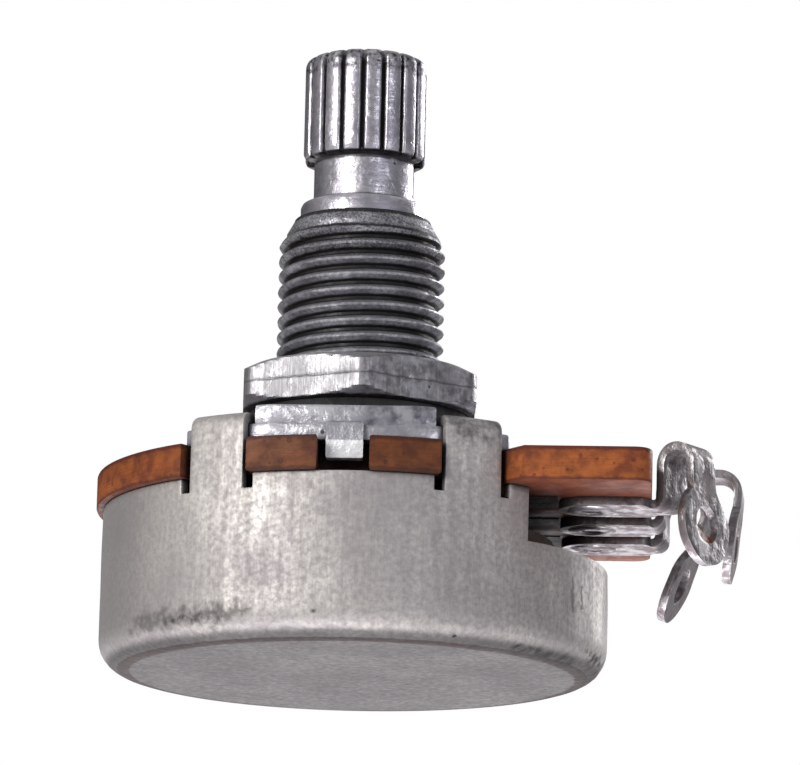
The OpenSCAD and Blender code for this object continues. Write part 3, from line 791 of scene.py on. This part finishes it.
def makeMottle():
    # cloudy patches: Mask runs from 0 to 1, Contrast tightens it
    group, i, o = newGroup(
        "mottle", {"Stretch": (1, 1, 1), "Size": 2.0, "Contrast": 0.5, "Detail": 4.0, "Seed": 0.0}, ["Mask"])
    grid = stretched(group, i["Stretch"], i["Size"], i["Seed"])
    cloud = put(group, "TexNoise", Vector=grid, Scale=1.0, Detail=i["Detail"], Roughness=0.6).outputs["Fac"]
    reach = maths(group, "MULTIPLY_ADD", i["Contrast"], -0.3, 0.36)
    low, high = maths(group, "SUBTRACT", 0.5, reach), maths(group, "ADD", 0.5, reach)
    group.links.new(spread(group, cloud, low, high), o["Mask"])
    return group


def makeScratches():
    # one short straight line in each cell that is kept; Lean steers the lines away from an axis
    group, i, o = newGroup("scratches", {"Size": 3.0, "Width": 0.012, "Length": 0.4, "Lean": (1, 1, 0.4),
                                         "Amount": 0.5, "Seed": 0.0}, ["Mask"])
    layers = []
    for scale, shift in ((1.0, 0.0), (1.8, 11.3)):
        grid = stretched(group, (scale, scale, scale), i["Size"], maths(group, "ADD", i["Seed"], shift))
        cells = put(group, "TexVoronoi", Vector=grid, Scale=1.0).outputs
        local = vectorMaths(group, "SUBTRACT", grid, cells["Position"])
        tilt = vectorMaths(group, "SUBTRACT", cells["Color"], (0.5, 0.5, 0.5))
        across = vectorMaths(group, "NORMALIZE", vectorMaths(group, "MULTIPLY", tilt, i["Lean"]))
        off = maths(group, "ABSOLUTE", vectorMaths(group, "DOT_PRODUCT", local, across))
        line = spread(group, off, i["Width"], 0.0)
        far = vectorMaths(group, "LENGTH", local)
        short = spread(group, far, i["Length"], maths(group, "MULTIPLY", i["Length"], 0.5))
        tone = put(group, "SeparateColor", Color=cells["Color"]).outputs[2]
        kept = maths(group, "MULTIPLY", line, short)
        layers.append(maths(group, "MULTIPLY", kept, spread(group, tone, 0.35, 0.9)))
    total = maths(group, "MAXIMUM", *layers)
    group.links.new(maths(group, "MULTIPLY", total, i["Amount"]), o["Mask"])
    return group


def makeSpecks():
    # scattered pits or dust, each of its own size
    group, i, o = newGroup("specks", {"Size": 1.0, "Reach": 0.2, "Share": 0.3, "Seed": 0.0}, ["Mask"])
    grid = stretched(group, (1, 1, 1), i["Size"], i["Seed"])
    cells = put(group, "TexVoronoi", Vector=grid, Scale=1.0).outputs
    wobble = put(group, "TexNoise", Vector=grid, Scale=5.0, Detail=2.0).outputs["Fac"]
    uneven = maths(group, "SUBTRACT", wobble, 0.5)
    distance = maths(group, "MULTIPLY_ADD", uneven, 0.12, cells["Distance"])
    tone = put(group, "SeparateColor", Color=cells["Color"]).outputs[0]
    kept = spread(group, tone, maths(group, "SUBTRACT", 1.0, i["Share"]), 1.0, smooth=False)
    reach = maths(group, "MULTIPLY", i["Reach"], kept)
    group.links.new(spread(group, distance, reach, maths(group, "MULTIPLY", reach, 0.55)), o["Mask"])
    return group


def makeEdgeWearAndShade():
    # Edge marks the outer corners and Crevice the inner ones; Crevice comes from ambient occlusion and is
    # painted shade in hollows and under parts
    group, i, o = newGroup(
        "edgeWearAndShade", {"Radius": 0.15, "Contrast": 3.0, "Depth": 0.6, "Seed": 0.0}, ["Edge", "PaintedShade"])
    plain = put(group, "NewGeometry").outputs["Normal"]
    softened = put(group, "Bevel", samples=6, Radius=maths(group, "MULTIPLY", i["Radius"], mm)).outputs[0]
    turned = maths(group, "SUBTRACT", 1.0, vectorMaths(group, "DOT_PRODUCT", plain, softened))
    edge = maths(group, "MULTIPLY", turned, i["Contrast"], clamp=True)
    grid = stretched(group, (1, 1, 1), 0.8, i["Seed"])
    broken = put(group, "TexNoise", Vector=grid, Scale=1.0, Detail=4.0).outputs["Fac"]
    depth = maths(group, "MULTIPLY", i["Depth"], mm)
    near = put(group, "AmbientOcclusion", samples=8, Distance=depth).outputs["AO"]
    outer = maths(group, "MULTIPLY", edge, spread(group, near, 0.45, 0.75))
    group.links.new(maths(group, "MULTIPLY", outer, spread(group, broken, 0.36, 0.6)), o["Edge"])
    group.links.new(spread(group, near, 0.85, 0.25), o["PaintedShade"])
    return group


def makeGrain():
    # fine drawn or brushed lines; Stretch sets their direction
    group, i, o = newGroup("grain", {"Stretch": (1, 1, 0.05), "Size": 0.3, "Seed": 0.0}, ["Mask", "Height"])
    grid = stretched(group, i["Stretch"], i["Size"], i["Seed"])
    fine = put(group, "TexNoise", Vector=grid, Scale=1.0, Detail=3.0, Roughness=0.7).outputs["Fac"]
    group.links.new(spread(group, fine, 0.32, 0.68), o["Mask"])
    group.links.new(maths(group, "SUBTRACT", fine, 0.5), o["Height"])
    return group


def makeZone():
    # a stretch of height, distance from the axis and side, in millimetres, with a ragged border
    group, i, o = newGroup("zone", {
        "Low": 0.0, "High": 30.0, "Inner": -1.0, "Outer": 30.0, "West": -30.0, "East": 30.0,
        "Soft": 0.1, "Ragged": 0.1, "Seed": 0.0}, ["Mask"])
    grid = stretched(group, (1, 1, 1), 0.5, i["Seed"])
    rough = put(group, "TexNoise", Vector=grid, Scale=1.0, Detail=3.0).outputs["Fac"]
    shift = maths(group, "MULTIPLY", maths(group, "SUBTRACT", rough, 0.5), i["Ragged"])
    place = vectorMaths(group, "MULTIPLY", put(group, "TexCoord").outputs["Object"], (1 / mm, 1 / mm, 1 / mm))
    axes = put(group, "SeparateXYZ", Vector=place).outputs
    flat = put(group, "CombineXYZ", X=axes["X"], Y=axes["Y"]).outputs[0]
    radius = vectorMaths(group, "LENGTH", flat)
    total = 1.0
    ranges = ((axes["Z"], "Low", "High"), (radius, "Inner", "Outer"), (axes["X"], "West", "East"))
    for value, low, high in ranges:
        moved = maths(group, "ADD", value, shift)
        for edge, before, after in ((i[low], "SUBTRACT", "ADD"), (i[high], "ADD", "SUBTRACT")):
            start, end = maths(group, before, edge, i["Soft"]), maths(group, after, edge, i["Soft"])
            total = maths(group, "MULTIPLY", total, spread(group, moved, start, end))
    group.links.new(total, o["Mask"])
    return group


mottle, scratches, specks = makeMottle(), makeScratches(), makeSpecks()
edgeWearAndShade, grain, zone = makeEdgeWearAndShade(), makeGrain(), makeZone()


# materials

def newMaterial(name):
    material = bpy.data.materials.new(name)
    material.use_nodes = True
    tree = material.node_tree
    tree.nodes.clear()
    shader = put(tree, "BsdfPrincipled")
    tree.links.new(shader.outputs[0], put(tree, "OutputMaterial").inputs[0])
    return material, tree, shader


def feed(tree, shader, colour, rough, height, metallic):
    give(tree, shader.inputs["Base Color"], colour)
    give(tree, shader.inputs["Roughness"], rough)
    give(tree, shader.inputs["Metallic"], metallic)
    bump = put(tree, "Bump", Height=height, Distance=mm, Strength=1.0)
    give(tree, shader.inputs["Normal"], bump.outputs[0])


def mark(colour, amount, soft, ragged, dots=None, **limits):
    # a painted zone: its limits are those of the zone group, and dots is their size where it is dotted
    limits.update(Soft=soft, Ragged=ragged)
    return {"colour": colour, "amount": amount, "dots": dots, "limits": limits}


def markZones(tree, colour, zones, seed):
    dull = 0.0
    for n, v in enumerate(zones):
        mask = maths(tree, "MULTIPLY", use(tree, zone, Seed=seed + n, **v["limits"])["Mask"], v["amount"])
        if v["dots"]:
            dots = use(tree, mottle, Size=v["dots"], Contrast=0.6, Detail=4.0, Seed=seed + 20 + n)["Mask"]
            mask = maths(tree, "MULTIPLY", mask, dots)
        colour = blendColours(tree, mask, colour, v["colour"])
        dull = maths(tree, "MAXIMUM", dull, mask)
    return colour, dull


def platedMetal(name, v):
    # one recipe for every plated or bare metal surface, driven by its own dictionary
    material, tree, shader = newMaterial(name)
    seed = v["seed"]
    big = use(tree, mottle, Size=v["patch"], Contrast=v["patchContrast"], Stretch=v["patchStretch"],
              Seed=seed)["Mask"]
    small = use(tree, mottle, Size=v["fleck"], Contrast=v["fleckContrast"], Detail=5.0, Seed=seed + 7)["Mask"]
    lines = use(tree, grain, Stretch=v["grainStretch"], Size=v["grainSize"], Seed=seed + 3)
    marks = use(tree, scratches, Size=v["scratchSize"], Width=v["scratchWidth"], Amount=v["scratchAmount"],
                Lean=v["scratchLean"], Seed=seed + 5)["Mask"]
    pits = use(tree, specks, Size=v["pitSize"], Reach=v["pitReach"], Share=v["pitShare"],
               Seed=seed + 9)["Mask"]
    wear = use(tree, edgeWearAndShade, Radius=v["wearRadius"], Contrast=v["wearContrast"], Depth=v["shadeDepth"],
               Seed=seed + 2)
    colour = layColours(tree, blendColours(tree, big, v["dark"], v["light"]), (
        (small, v["fleckAmount"], v["tint"]), (lines["Mask"], v["grainAmount"], v["grainColour"]),
        (marks, 1.0, v["scratchColour"]), (pits, v["pitAmount"], v["grimeAndShade"]),
        (wear["Edge"], v["wearAmount"], v["worn"])))
    colour, dull = markZones(tree, colour, v["zones"], seed)
    # painted shade: hollows, inner corners and faces under parts darken by ambient occlusion
    colour = layColours(tree, colour, [(wear["PaintedShade"], v["shadeAmount"], v["grimeAndShade"])])
    rough = spread(tree, big, 0, 1, v["roughHigh"], v["roughLow"], smooth=False)
    rough = addUp(tree, rough, ((lines["Mask"], v["grainRough"]), (small, v["fleckRough"]),
                                (pits, v["pitRough"]), (dull, v["zoneRough"])))
    height = addUp(tree, 0.0, ((lines["Height"], v["grainLift"]), (big, v["patchLift"]),
                               (pits, -v["pitLift"]), (marks, -v["scratchLift"])))
    # the painted shade also takes the metal out of these hollows
    unshaded = maths(tree, "MULTIPLY_ADD", wear["PaintedShade"], -v["shadeDull"], 1.0)
    bright = maths(tree, "MULTIPLY_ADD", dull, -v["zoneDull"], 1.0)
    metallic = maths(tree, "MULTIPLY", maths(tree, "MULTIPLY", unshaded, bright), v["metallic"])
    feed(tree, shader, colour, rough, height, metallic)
    return material


black, rust, scored = (0.008, 0.007, 0.008), (0.12, 0.035, 0.018), (0.1, 0.09, 0.09)
metalBase = {
    "patch": 3.0, "patchContrast": 0.5, "patchStretch": (1, 1, 1), "patchLift": 0.02,
    "fleck": 0.35, "fleckAmount": 0.45, "fleckContrast": 0.4, "fleckRough": 0.12,
    "grainStretch": (1, 1, 0.06), "grainSize": 0.25, "grainAmount": 0.2, "grainRough": 0.1, "grainLift": 0.02,
    "scratchSize": 2.4, "scratchWidth": 0.012, "scratchAmount": 0.4, "scratchLift": 0.01,
    "scratchLean": (1, 1, 0.6),
    "pitSize": 0.9, "pitReach": 0.16, "pitShare": 0.3, "pitAmount": 0.8, "pitLift": 0.02, "pitRough": 0.25,
    "wearRadius": 0.12, "wearContrast": 4.0, "wearAmount": 0.7,
    # painted shade in hollows: reach of the occlusion, its strength and loss of metal
    "shadeDepth": 0.6, "shadeAmount": 0.9, "shadeDull": 0.7,
    "light": (0.74, 0.73, 0.72), "dark": (0.42, 0.41, 0.42), "tint": (0.42, 0.40, 0.42),
    # grime colours the pits and also the painted shade in hollows
    "grimeAndShade": (0.012, 0.010, 0.011), "grainColour": (0.34, 0.33, 0.34), "scratchColour": (0.86, 0.85, 0.84),
    "worn": (0.92, 0.91, 0.90), "roughLow": 0.32, "roughHigh": 0.5, "metallic": 0.85, "seed": 1.0,
    "zones": (), "zoneDull": 0.25, "zoneRough": 0.1,
}

# each mark: colour, amount, softness and raggedness of its border, size of its dots if any, then its limits
finishes = {
    "tinned_steel": {
        "patch": 4.5, "patchContrast": 0.4, "fleck": 0.24, "fleckAmount": 0.8, "grainStretch": (1, 1, 0.09),
        "grainSize": 0.4, "grainAmount": 0.32, "light": (0.74, 0.715, 0.67), "dark": (0.48, 0.455, 0.455),
        "tint": (0.34, 0.31, 0.325), "grainColour": (0.31, 0.29, 0.29), "roughLow": 0.46, "roughHigh": 0.54,
        "metallic": 0.72, "pitSize": 1.3, "pitReach": 0.1, "seed": 2.0,
        "scratchAmount": 0.35, "scratchWidth": 0.01, "shadeDepth": 0.8,
        "zones": (
            # painted shade: the far left of the wall is darkened, away from the key light
            mark((0.20, 0.19, 0.195), 0.5, 0.9, 1.0, West=-13.0, East=-9.4),
            # painted shade over the middle and right of the wall
            mark((0.30, 0.28, 0.29), 0.42, 1.0, 1.4, Low=1.4, High=7.8, West=-0.6, East=6.4),
            mark(rust, 1.0, 0.06, 0.2, Low=-1.0, High=0.5, Inner=10.5, Outer=11.1),
            mark(black, 1.0, 0.15, 0.5, 0.5, Low=-1.0, High=0.4, Inner=10.5, Outer=11.5, West=7.5, East=10.4),
            mark(black, 0.9, 0.15, 0.7, 0.6, Low=-1.0, High=0.8, West=11.0, East=12.1),
            mark((0.13, 0.12, 0.12), 0.8, 0.4, 1.8, Low=0.85, High=1.5, West=-9.8, East=-4.2),
            mark(black, 0.8, 0.2, 0.6, 0.35, Low=0.9, High=1.2, West=-8.2, East=-5.2),
            mark(black, 1.0, 0.1, 0.2, Low=1.05, High=1.2, West=-1.25, East=-1.1),
            mark(scored, 0.9, 0.06, 0.35, Low=2.2, High=3.9, West=10.38, East=10.44),
            mark(scored, 0.9, 0.05, 0.35, Low=2.5, High=3.6, West=10.8, East=10.86),
            mark((0.05, 0.045, 0.05), 0.8, 0.3, 0.8, 0.9, Low=9.3, West=4.0),
        ),
    },
    "cast_zinc": {
        "patch": 1.3, "patchContrast": 0.85, "light": (0.70, 0.71, 0.75), "dark": (0.34, 0.34, 0.38),
        "tint": (0.34, 0.32, 0.38), "roughLow": 0.26, "roughHigh": 0.42, "shadeDepth": 0.5,
        "shadeAmount": 0.95, "seed": 3.0, "grainStretch": (0.2, 0.2, 1.0), "wearRadius": 0.1,
        "fleck": 0.28, "fleckAmount": 0.6, "pitShare": 0.5, "pitReach": 0.2,
        "zones": (
            # painted highlight: the lower ends of the key tongues are painted near white
            mark((0.93, 0.94, 0.97), 0.9, 0.05, 0.05, Low=8.0, High=9.15),
            # painted shade in the roots of the thread
            mark(black, 0.97, 0.06, 0.12, Low=11.7, High=21.0, Inner=3.2, Outer=3.74),
            mark(black, 0.8, 0.1, 0.1, 0.1, Low=19.5, High=21.95, Inner=3.2),
            mark(black, 0.9, 0.06, 0.15, Low=21.0, High=21.16, Inner=3.2),
            mark(black, 0.9, 0.05, 0.1, Low=21.8, High=22.1, Inner=3.1),
            mark((0.08, 0.08, 0.09), 0.55, 0.1, 0.2, 0.2, Low=11.8, High=19.5, Inner=3.7),
            # painted shade on the pad under the right end of the nut
            mark((0.07, 0.075, 0.1), 0.9, 0.3, 1.0, 0.6, Low=9.9, High=10.9, West=1.0, East=5.0),
        ),
    },
    "terminal_tin": {
        "patch": 0.9, "patchContrast": 0.9, "light": (0.38, 0.37, 0.39), "dark": (0.14, 0.12, 0.13),
        "tint": (0.18, 0.14, 0.14), "fleckAmount": 0.6, "roughLow": 0.28, "roughHigh": 0.48, "seed": 4.0,
        "wearRadius": 0.1, "wearAmount": 0.5,
    },
    "shaft_metal": {
        "patch": 1.2, "patchContrast": 0.75, "light": (0.80, 0.79, 0.83), "dark": (0.46, 0.44, 0.50),
        "tint": (0.44, 0.40, 0.50), "roughLow": 0.21, "roughHigh": 0.30, "metallic": 0.9, "grainSize": 0.2,
        "grainStretch": (0.15, 0.15, 1.0), "seed": 5.0, "shadeDepth": 0.5, "shadeAmount": 0.95,
        "pitReach": 0.12, "pitSize": 0.8, "fleckAmount": 0.5,
        "zones": (
            # painted shade in the knurl's grooves and the slot
            mark(black, 0.97, 0.05, 0.1, Low=24.9, High=29.35, Inner=2.4, Outer=2.86),
            # painted shade in the inside corner between collar and neck
            mark(black, 0.85, 0.05, 0.1, Low=22.82, High=22.98),
            # painted shade on the underside of the knurl
            mark(black, 0.85, 0.06, 0.2, Low=24.72, High=25.02),
            mark(black, 0.95, 0.2, 0.5, 0.25, Low=29.0, High=30.2, Inner=2.2),
            mark((0.12, 0.10, 0.14), 0.35, 0.2, 0.5, 0.2, Low=25.0, High=29.2, Inner=2.9),
        ),
    },
    "nut_plate": {
        "patch": 1.8, "patchContrast": 0.75, "light": (0.60, 0.60, 0.63), "dark": (0.36, 0.36, 0.38),
        "tint": (0.40, 0.37, 0.41), "fleckAmount": 0.5, "roughLow": 0.28, "roughHigh": 0.42, "seed": 6.0,
        "scratchAmount": 0.5, "shadeDepth": 1.6, "shadeAmount": 1.0,
        "zones": (
            # painted shade along the groove at mid-height
            mark((0.06, 0.055, 0.06), 0.7, 0.05, 0.2, Low=13.4, High=13.48, Inner=5.2),
            # painted shade on the nut's underside
            mark(black, 1.0, 0.05, 0.1, Low=12.0, High=12.52),
            mark((0.10, 0.09, 0.10), 0.75, 0.2, 0.3, 0.5, Low=12.5, High=14.6, West=0.4, East=7.0),
        ),
    },
    # near-black steel; on the lock washer it also stands for the shade in the gap under the nut
    "dark_steel": {
        "patch": 1.0, "light": (0.16, 0.16, 0.17), "dark": (0.05, 0.05, 0.055), "tint": (0.08, 0.075, 0.08),
        "scratchColour": (0.4, 0.4, 0.4), "grainColour": (0.1, 0.1, 0.1), "worn": (0.4, 0.4, 0.4),
        "roughLow": 0.35, "roughHigh": 0.55, "metallic": 0.8, "seed": 7.0,
    },
    "spring_bronze": {
        "patch": 1.0, "light": (0.78, 0.55, 0.30), "dark": (0.50, 0.32, 0.15), "tint": (0.6, 0.4, 0.22),
        "scratchColour": (0.9, 0.7, 0.45), "grainColour": (0.55, 0.36, 0.18), "worn": (0.95, 0.8, 0.55),
        "roughLow": 0.25, "roughHigh": 0.4, "metallic": 0.9, "seed": 8.0,
    },
    "silver_film": {
        "patch": 0.8, "light": (0.055, 0.05, 0.05), "dark": (0.02, 0.018, 0.018),
        "tint": (0.03, 0.027, 0.027),
        "scratchColour": (0.12, 0.11, 0.11), "grainColour": (0.03, 0.028, 0.028), "worn": (0.12, 0.11, 0.11),
        "roughLow": 0.5, "roughHigh": 0.65, "metallic": 0.4, "wearAmount": 0.2, "shadeDepth": 3.0,
        "shadeAmount": 0.85, "seed": 9.0,
    },
}

laminate = {
    "patch": 0.9, "patchContrast": 0.6, "light": (0.42, 0.115, 0.026), "dark": (0.16, 0.034, 0.011),
    "layer": 0.5, "layerStretch": (0.25, 0.25, 4.0), "layerAmount": 0.4, "layerColour": (0.20, 0.058, 0.018),
    "layerLift": 0.04, "fleck": 0.4, "fleckAmount": 0.55, "fleckColour": (0.09, 0.018, 0.009),
    "fleckLift": -0.02,
    "spot": 2.6, "spotAmount": 0.85, "grimeAndShade": (0.006, 0.004, 0.004),
    # the dark edge colour is painted shade along the board's edges
    "edgeRadius": 0.16, "edgeAmount": 0.8, "edge": (0.07, 0.014, 0.011),
    # painted shade in the board's hollows: reach of the occlusion and its strength
    "shadeDepth": 2.0, "shadeAmount": 0.92, "roughLow": 0.48, "roughHigh": 0.62, "gloss": 0.3,
    "zones": (
        # painted shade along the board's upper edge
        mark((0.09, 0.016, 0.012), 0.85, 0.08, 0.25, Low=9.0, High=9.4),
        # painted shade along the board's lower edge and underside
        mark((0.06, 0.012, 0.009), 0.7, 0.06, 0.25, Low=7.3, High=7.75),
        # painted shadow of the plate and tabs on the middle of the board
        mark((0.03, 0.013, 0.006), 0.6, 0.3, 0.5, West=-4.9, East=4.9),
        mark((0.06, 0.02, 0.012), 0.3, 0.3, 0.5, West=-13.0, East=-4.9),
        mark((0.008, 0.005, 0.004), 1.0, 0.1, 0.2, Low=8.0, High=8.14, West=10.06, East=10.2),
    ),
}


def laminateMaterial(name, v):
    material, tree, shader = newMaterial(name)
    cloud = use(tree, mottle, Size=v["patch"], Contrast=v["patchContrast"], Seed=1.0)["Mask"]
    layers = use(tree, grain, Stretch=v["layerStretch"], Size=v["layer"], Seed=2.0)
    flecks = use(tree, specks, Size=v["fleck"], Reach=0.4, Share=0.7, Seed=3.0)["Mask"]
    spots = use(tree, specks, Size=v["spot"], Reach=0.12, Share=0.5, Seed=6.0)["Mask"]
    wear = use(tree, edgeWearAndShade, Radius=v["edgeRadius"], Contrast=6.0, Depth=v["shadeDepth"], Seed=4.0)
    # the edge layer paints the board's edges dark as shade
    colour = layColours(tree, blendColours(tree, cloud, v["dark"], v["light"]), (
        (layers["Mask"], v["layerAmount"], v["layerColour"]), (flecks, v["fleckAmount"], v["fleckColour"]),
        (spots, v["spotAmount"], v["grimeAndShade"]), (wear["Edge"], v["edgeAmount"], v["edge"])))
    colour = markZones(tree, colour, v["zones"], 5.0)[0]
    # painted shade: hollows and faces under parts darken by ambient occlusion
    colour = layColours(tree, colour, [(wear["PaintedShade"], v["shadeAmount"], v["grimeAndShade"])])
    rough = spread(tree, cloud, 0, 1, v["roughHigh"], v["roughLow"], smooth=False)
    height = addUp(tree, 0.0, ((layers["Height"], v["layerLift"]), (flecks, v["fleckLift"])))
    feed(tree, shader, colour, rough, height, 0.0)
    shader.inputs["Specular IOR Level"].default_value = v["gloss"]
    return material


mattBase = {"patch": 0.8, "grainSize": 0.1, "grainAmount": 0.3, "grainLift": 0.02, "wornAmount": 0.4}
matts = {
    "flux_residue": {
        "patch": 0.3, "light": (0.30, 0.07, 0.035), "dark": (0.08, 0.02, 0.015), "worn": (0.4, 0.15, 0.08),
        "roughLow": 0.25, "roughHigh": 0.4, "seed": 3.0,
    },
    "carbon_film": {
        "light": (0.06, 0.06, 0.065), "dark": (0.03, 0.03, 0.03), "worn": (0.1, 0.1, 0.1),
        "roughLow": 0.5, "roughHigh": 0.7, "seed": 1.0,
    },
    "rotor_moulding": {
        "patch": 1.5, "grainSize": 0.15, "light": (0.11, 0.085, 0.07), "dark": (0.06, 0.045, 0.04),
        "worn": (0.2, 0.17, 0.14), "roughLow": 0.45, "roughHigh": 0.6, "seed": 2.0,
    },
}


def mattMaterial(name, v):
    material, tree, shader = newMaterial(name)
    cloud = use(tree, mottle, Size=v["patch"], Seed=v["seed"])["Mask"]
    fine = use(tree, grain, Stretch=(1, 1, 1), Size=v["grainSize"], Seed=v["seed"] + 1)
    wear = use(tree, edgeWearAndShade, Radius=0.1, Depth=0.4, Seed=v["seed"] + 2)
    colour = layColours(tree, blendColours(tree, cloud, v["dark"], v["light"]), (
        (fine["Mask"], v["grainAmount"], v["light"]), (wear["Edge"], v["wornAmount"], v["worn"])))
    rough = spread(tree, cloud, 0, 1, v["roughHigh"], v["roughLow"], smooth=False)
    feed(tree, shader, colour, rough, maths(tree, "MULTIPLY", fine["Height"], v["grainLift"]), 0.0)
    return material


materials = {slot: platedMetal(slot, {**metalBase, **values}) for slot, values in finishes.items()}
materials["laminate"] = laminateMaterial("laminate", laminate)
materials.update({slot: mattMaterial(slot, {**mattBase, **values}) for slot, values in matts.items()})

# the built pieces, then the ones that stay as the frame gives them
dressed = [(rearCover, "tinned_steel"), (bushingPlate, "cast_zinc"), (terminalBoard, "laminate"),
           (controlShaft, "shaft_metal"), (hexNut, "nut_plate"), (lockWasher, "dark_steel"),
           (flux, "flux_residue")] + [(piece, "terminal_tin") for piece in terminals + rivets]
inside = {"carbon_track": "carbon_film", "collector_track": "silver_film", "end_pad_near": "silver_film",
          "end_pad_far": "silver_film", "stop_washer": "nut_plate", "retaining_ring": "dark_steel",
          "rotor": "rotor_moulding", "contact_spring": "spring_bronze"}
for piece, slot in dressed + [(nodes[name], slot) for name, slot in inside.items()]:
    piece.data.materials.clear()
    piece.data.materials.append(materials[slot])
print("finishes applied")


# floor, light and camera

studio = {
    "floor": (0.86, 0.86, 0.86), "floorRadius": 1500, "floorZ": -0.02,
    "skyTop": (0.50, 0.50, 0.51), "skyLeft": (0.13, 0.128, 0.125), "skyRight": (0.12, 0.12, 0.13),
    "skyBack": (0.03, 0.03, 0.033), "skyLow": (0.48, 0.47, 0.48), "skyStrength": 1.0,
    "lamps": (
        # name, place, aimed at, size, watts, colour
        ("key", (-205, -275, 95), (0, 0, 12), 150, 0.88, (1.0, 0.985, 0.95)),
        ("fill", (230, -280, 40), (4, 0, 10), 120, 0.19, (0.92, 0.94, 1.0)),
        ("under", (-40, 20, -280), (0, 0, 4), 300, 1.5, (1.0, 0.98, 1.0)),
        ("low", (-20, 285, -95), (0, 0, 0), 170, 0.13, (1.0, 0.96, 1.0)),
        ("rim", (190, 220, 120), (0, 0, 14), 140, 0.5, (1.0, 1.0, 1.0)),
    ),
}


def mixShaders(tree, share, first, second, kind):
    mix = put(tree, "MixShader", Fac=share, i1=first.outputs[0], i2=second.outputs[0])
    tree.links.new(mix.outputs[0], put(tree, kind).inputs[0])


def buildFloor(v):
    # a disc that the camera sees from above only
    verts = [(x, y, v["floorZ"]) for x, y in circlePoints(0, 0, v["floorRadius"], 64)]
    floor = addObject("floor", meshFrom(verts, [tuple(range(64))]))
    material = bpy.data.materials.new("paleFloor")
    material.use_nodes = True
    tree = material.node_tree
    tree.nodes.clear()
    above = maths(tree, "SUBTRACT", 1.0, put(tree, "NewGeometry").outputs["Backfacing"])
    shown = maths(tree, "MULTIPLY", put(tree, "LightPath").outputs["Is Camera Ray"], above)
    surface = put(tree, "BsdfPrincipled", Base_Color=(*v["floor"], 1), Roughness=0.9)
    mixShaders(tree, shown, put(tree, "BsdfTransparent"), surface, "OutputMaterial")
    floor.data.materials.append(material)


def buildWorld(v):
    # grey bands for the light, and plain white for the camera
    world = bpy.data.worlds.new("studio")
    bpy.context.scene.world = world
    world.use_nodes = True
    tree = world.node_tree
    tree.nodes.clear()
    way = put(tree, "SeparateXYZ", Vector=put(tree, "TexCoord").outputs["Generated"]).outputs
    sky = blendColours(tree, spread(tree, way["X"], 0.5, -0.6), v["skyRight"], v["skyLeft"])
    for axis, start, end, band in (("Y", 0.1, 0.6, "skyBack"), ("Z", 0.3, 0.85, "skyTop"),
                                   ("Z", 0.04, -0.16, "skyLow")):
        sky = blendColours(tree, spread(tree, way[axis], start, end), sky, v[band])
    light = put(tree, "Background", Color=sky, Strength=v["skyStrength"])
    plain = put(tree, "Background", Color=(1, 1, 1, 1), Strength=1.0)
    mixShaders(tree, put(tree, "LightPath").outputs["Is Camera Ray"], light, plain, "OutputWorld")


def buildLamps(v):
    for name, place, aim, size, watts, colour in v["lamps"]:
        data = bpy.data.lights.new(name, "AREA")
        data.shape = "DISK"
        data.size = size * mm
        data.energy = watts
        data.color = colour
        lamp = addObject(name, data)
        lamp.location = Vector(place) * mm
        lamp.rotation_euler = (Vector(aim) - Vector(place)).to_track_quat("-Z", "Y").to_euler()


view = {"target": (0, 0, 12), "distance": 250, "azimuth": 3.1, "below": 11.62, "roll": 1.38,
        "lens": 236.2, "sensor": 36, "shiftX": 0.0525, "shiftY": 0.057, "near": 0.01, "far": 10}


def buildCamera(v):
    azimuth, below = math.radians(v["azimuth"]), math.radians(v["below"])
    flat = math.cos(below)
    back = Vector((math.sin(azimuth) * flat, -math.cos(azimuth) * flat, -math.sin(below)))
    data = bpy.data.cameras.new("camera")
    data.sensor_width = v["sensor"]
    data.lens = v["lens"]
    data.shift_x, data.shift_y = v["shiftX"], v["shiftY"]
    data.clip_start, data.clip_end = v["near"], v["far"]
    camera = addObject("camera", data)
    turn = (-back).to_track_quat("-Z", "Y").to_matrix().to_4x4()
    place = Matrix.Translation((Vector(v["target"]) + back * v["distance"]) * mm)
    camera.matrix_world = place @ turn @ Matrix.Rotation(math.radians(v["roll"]), 4, "Z")
    bpy.context.scene.camera = camera


buildFloor(studio)
buildWorld(studio)
buildLamps(studio)
buildCamera(view)
bpy.context.scene.view_settings.view_transform = "Standard"
print("studio ready")

bpy.context.view_layer.update()
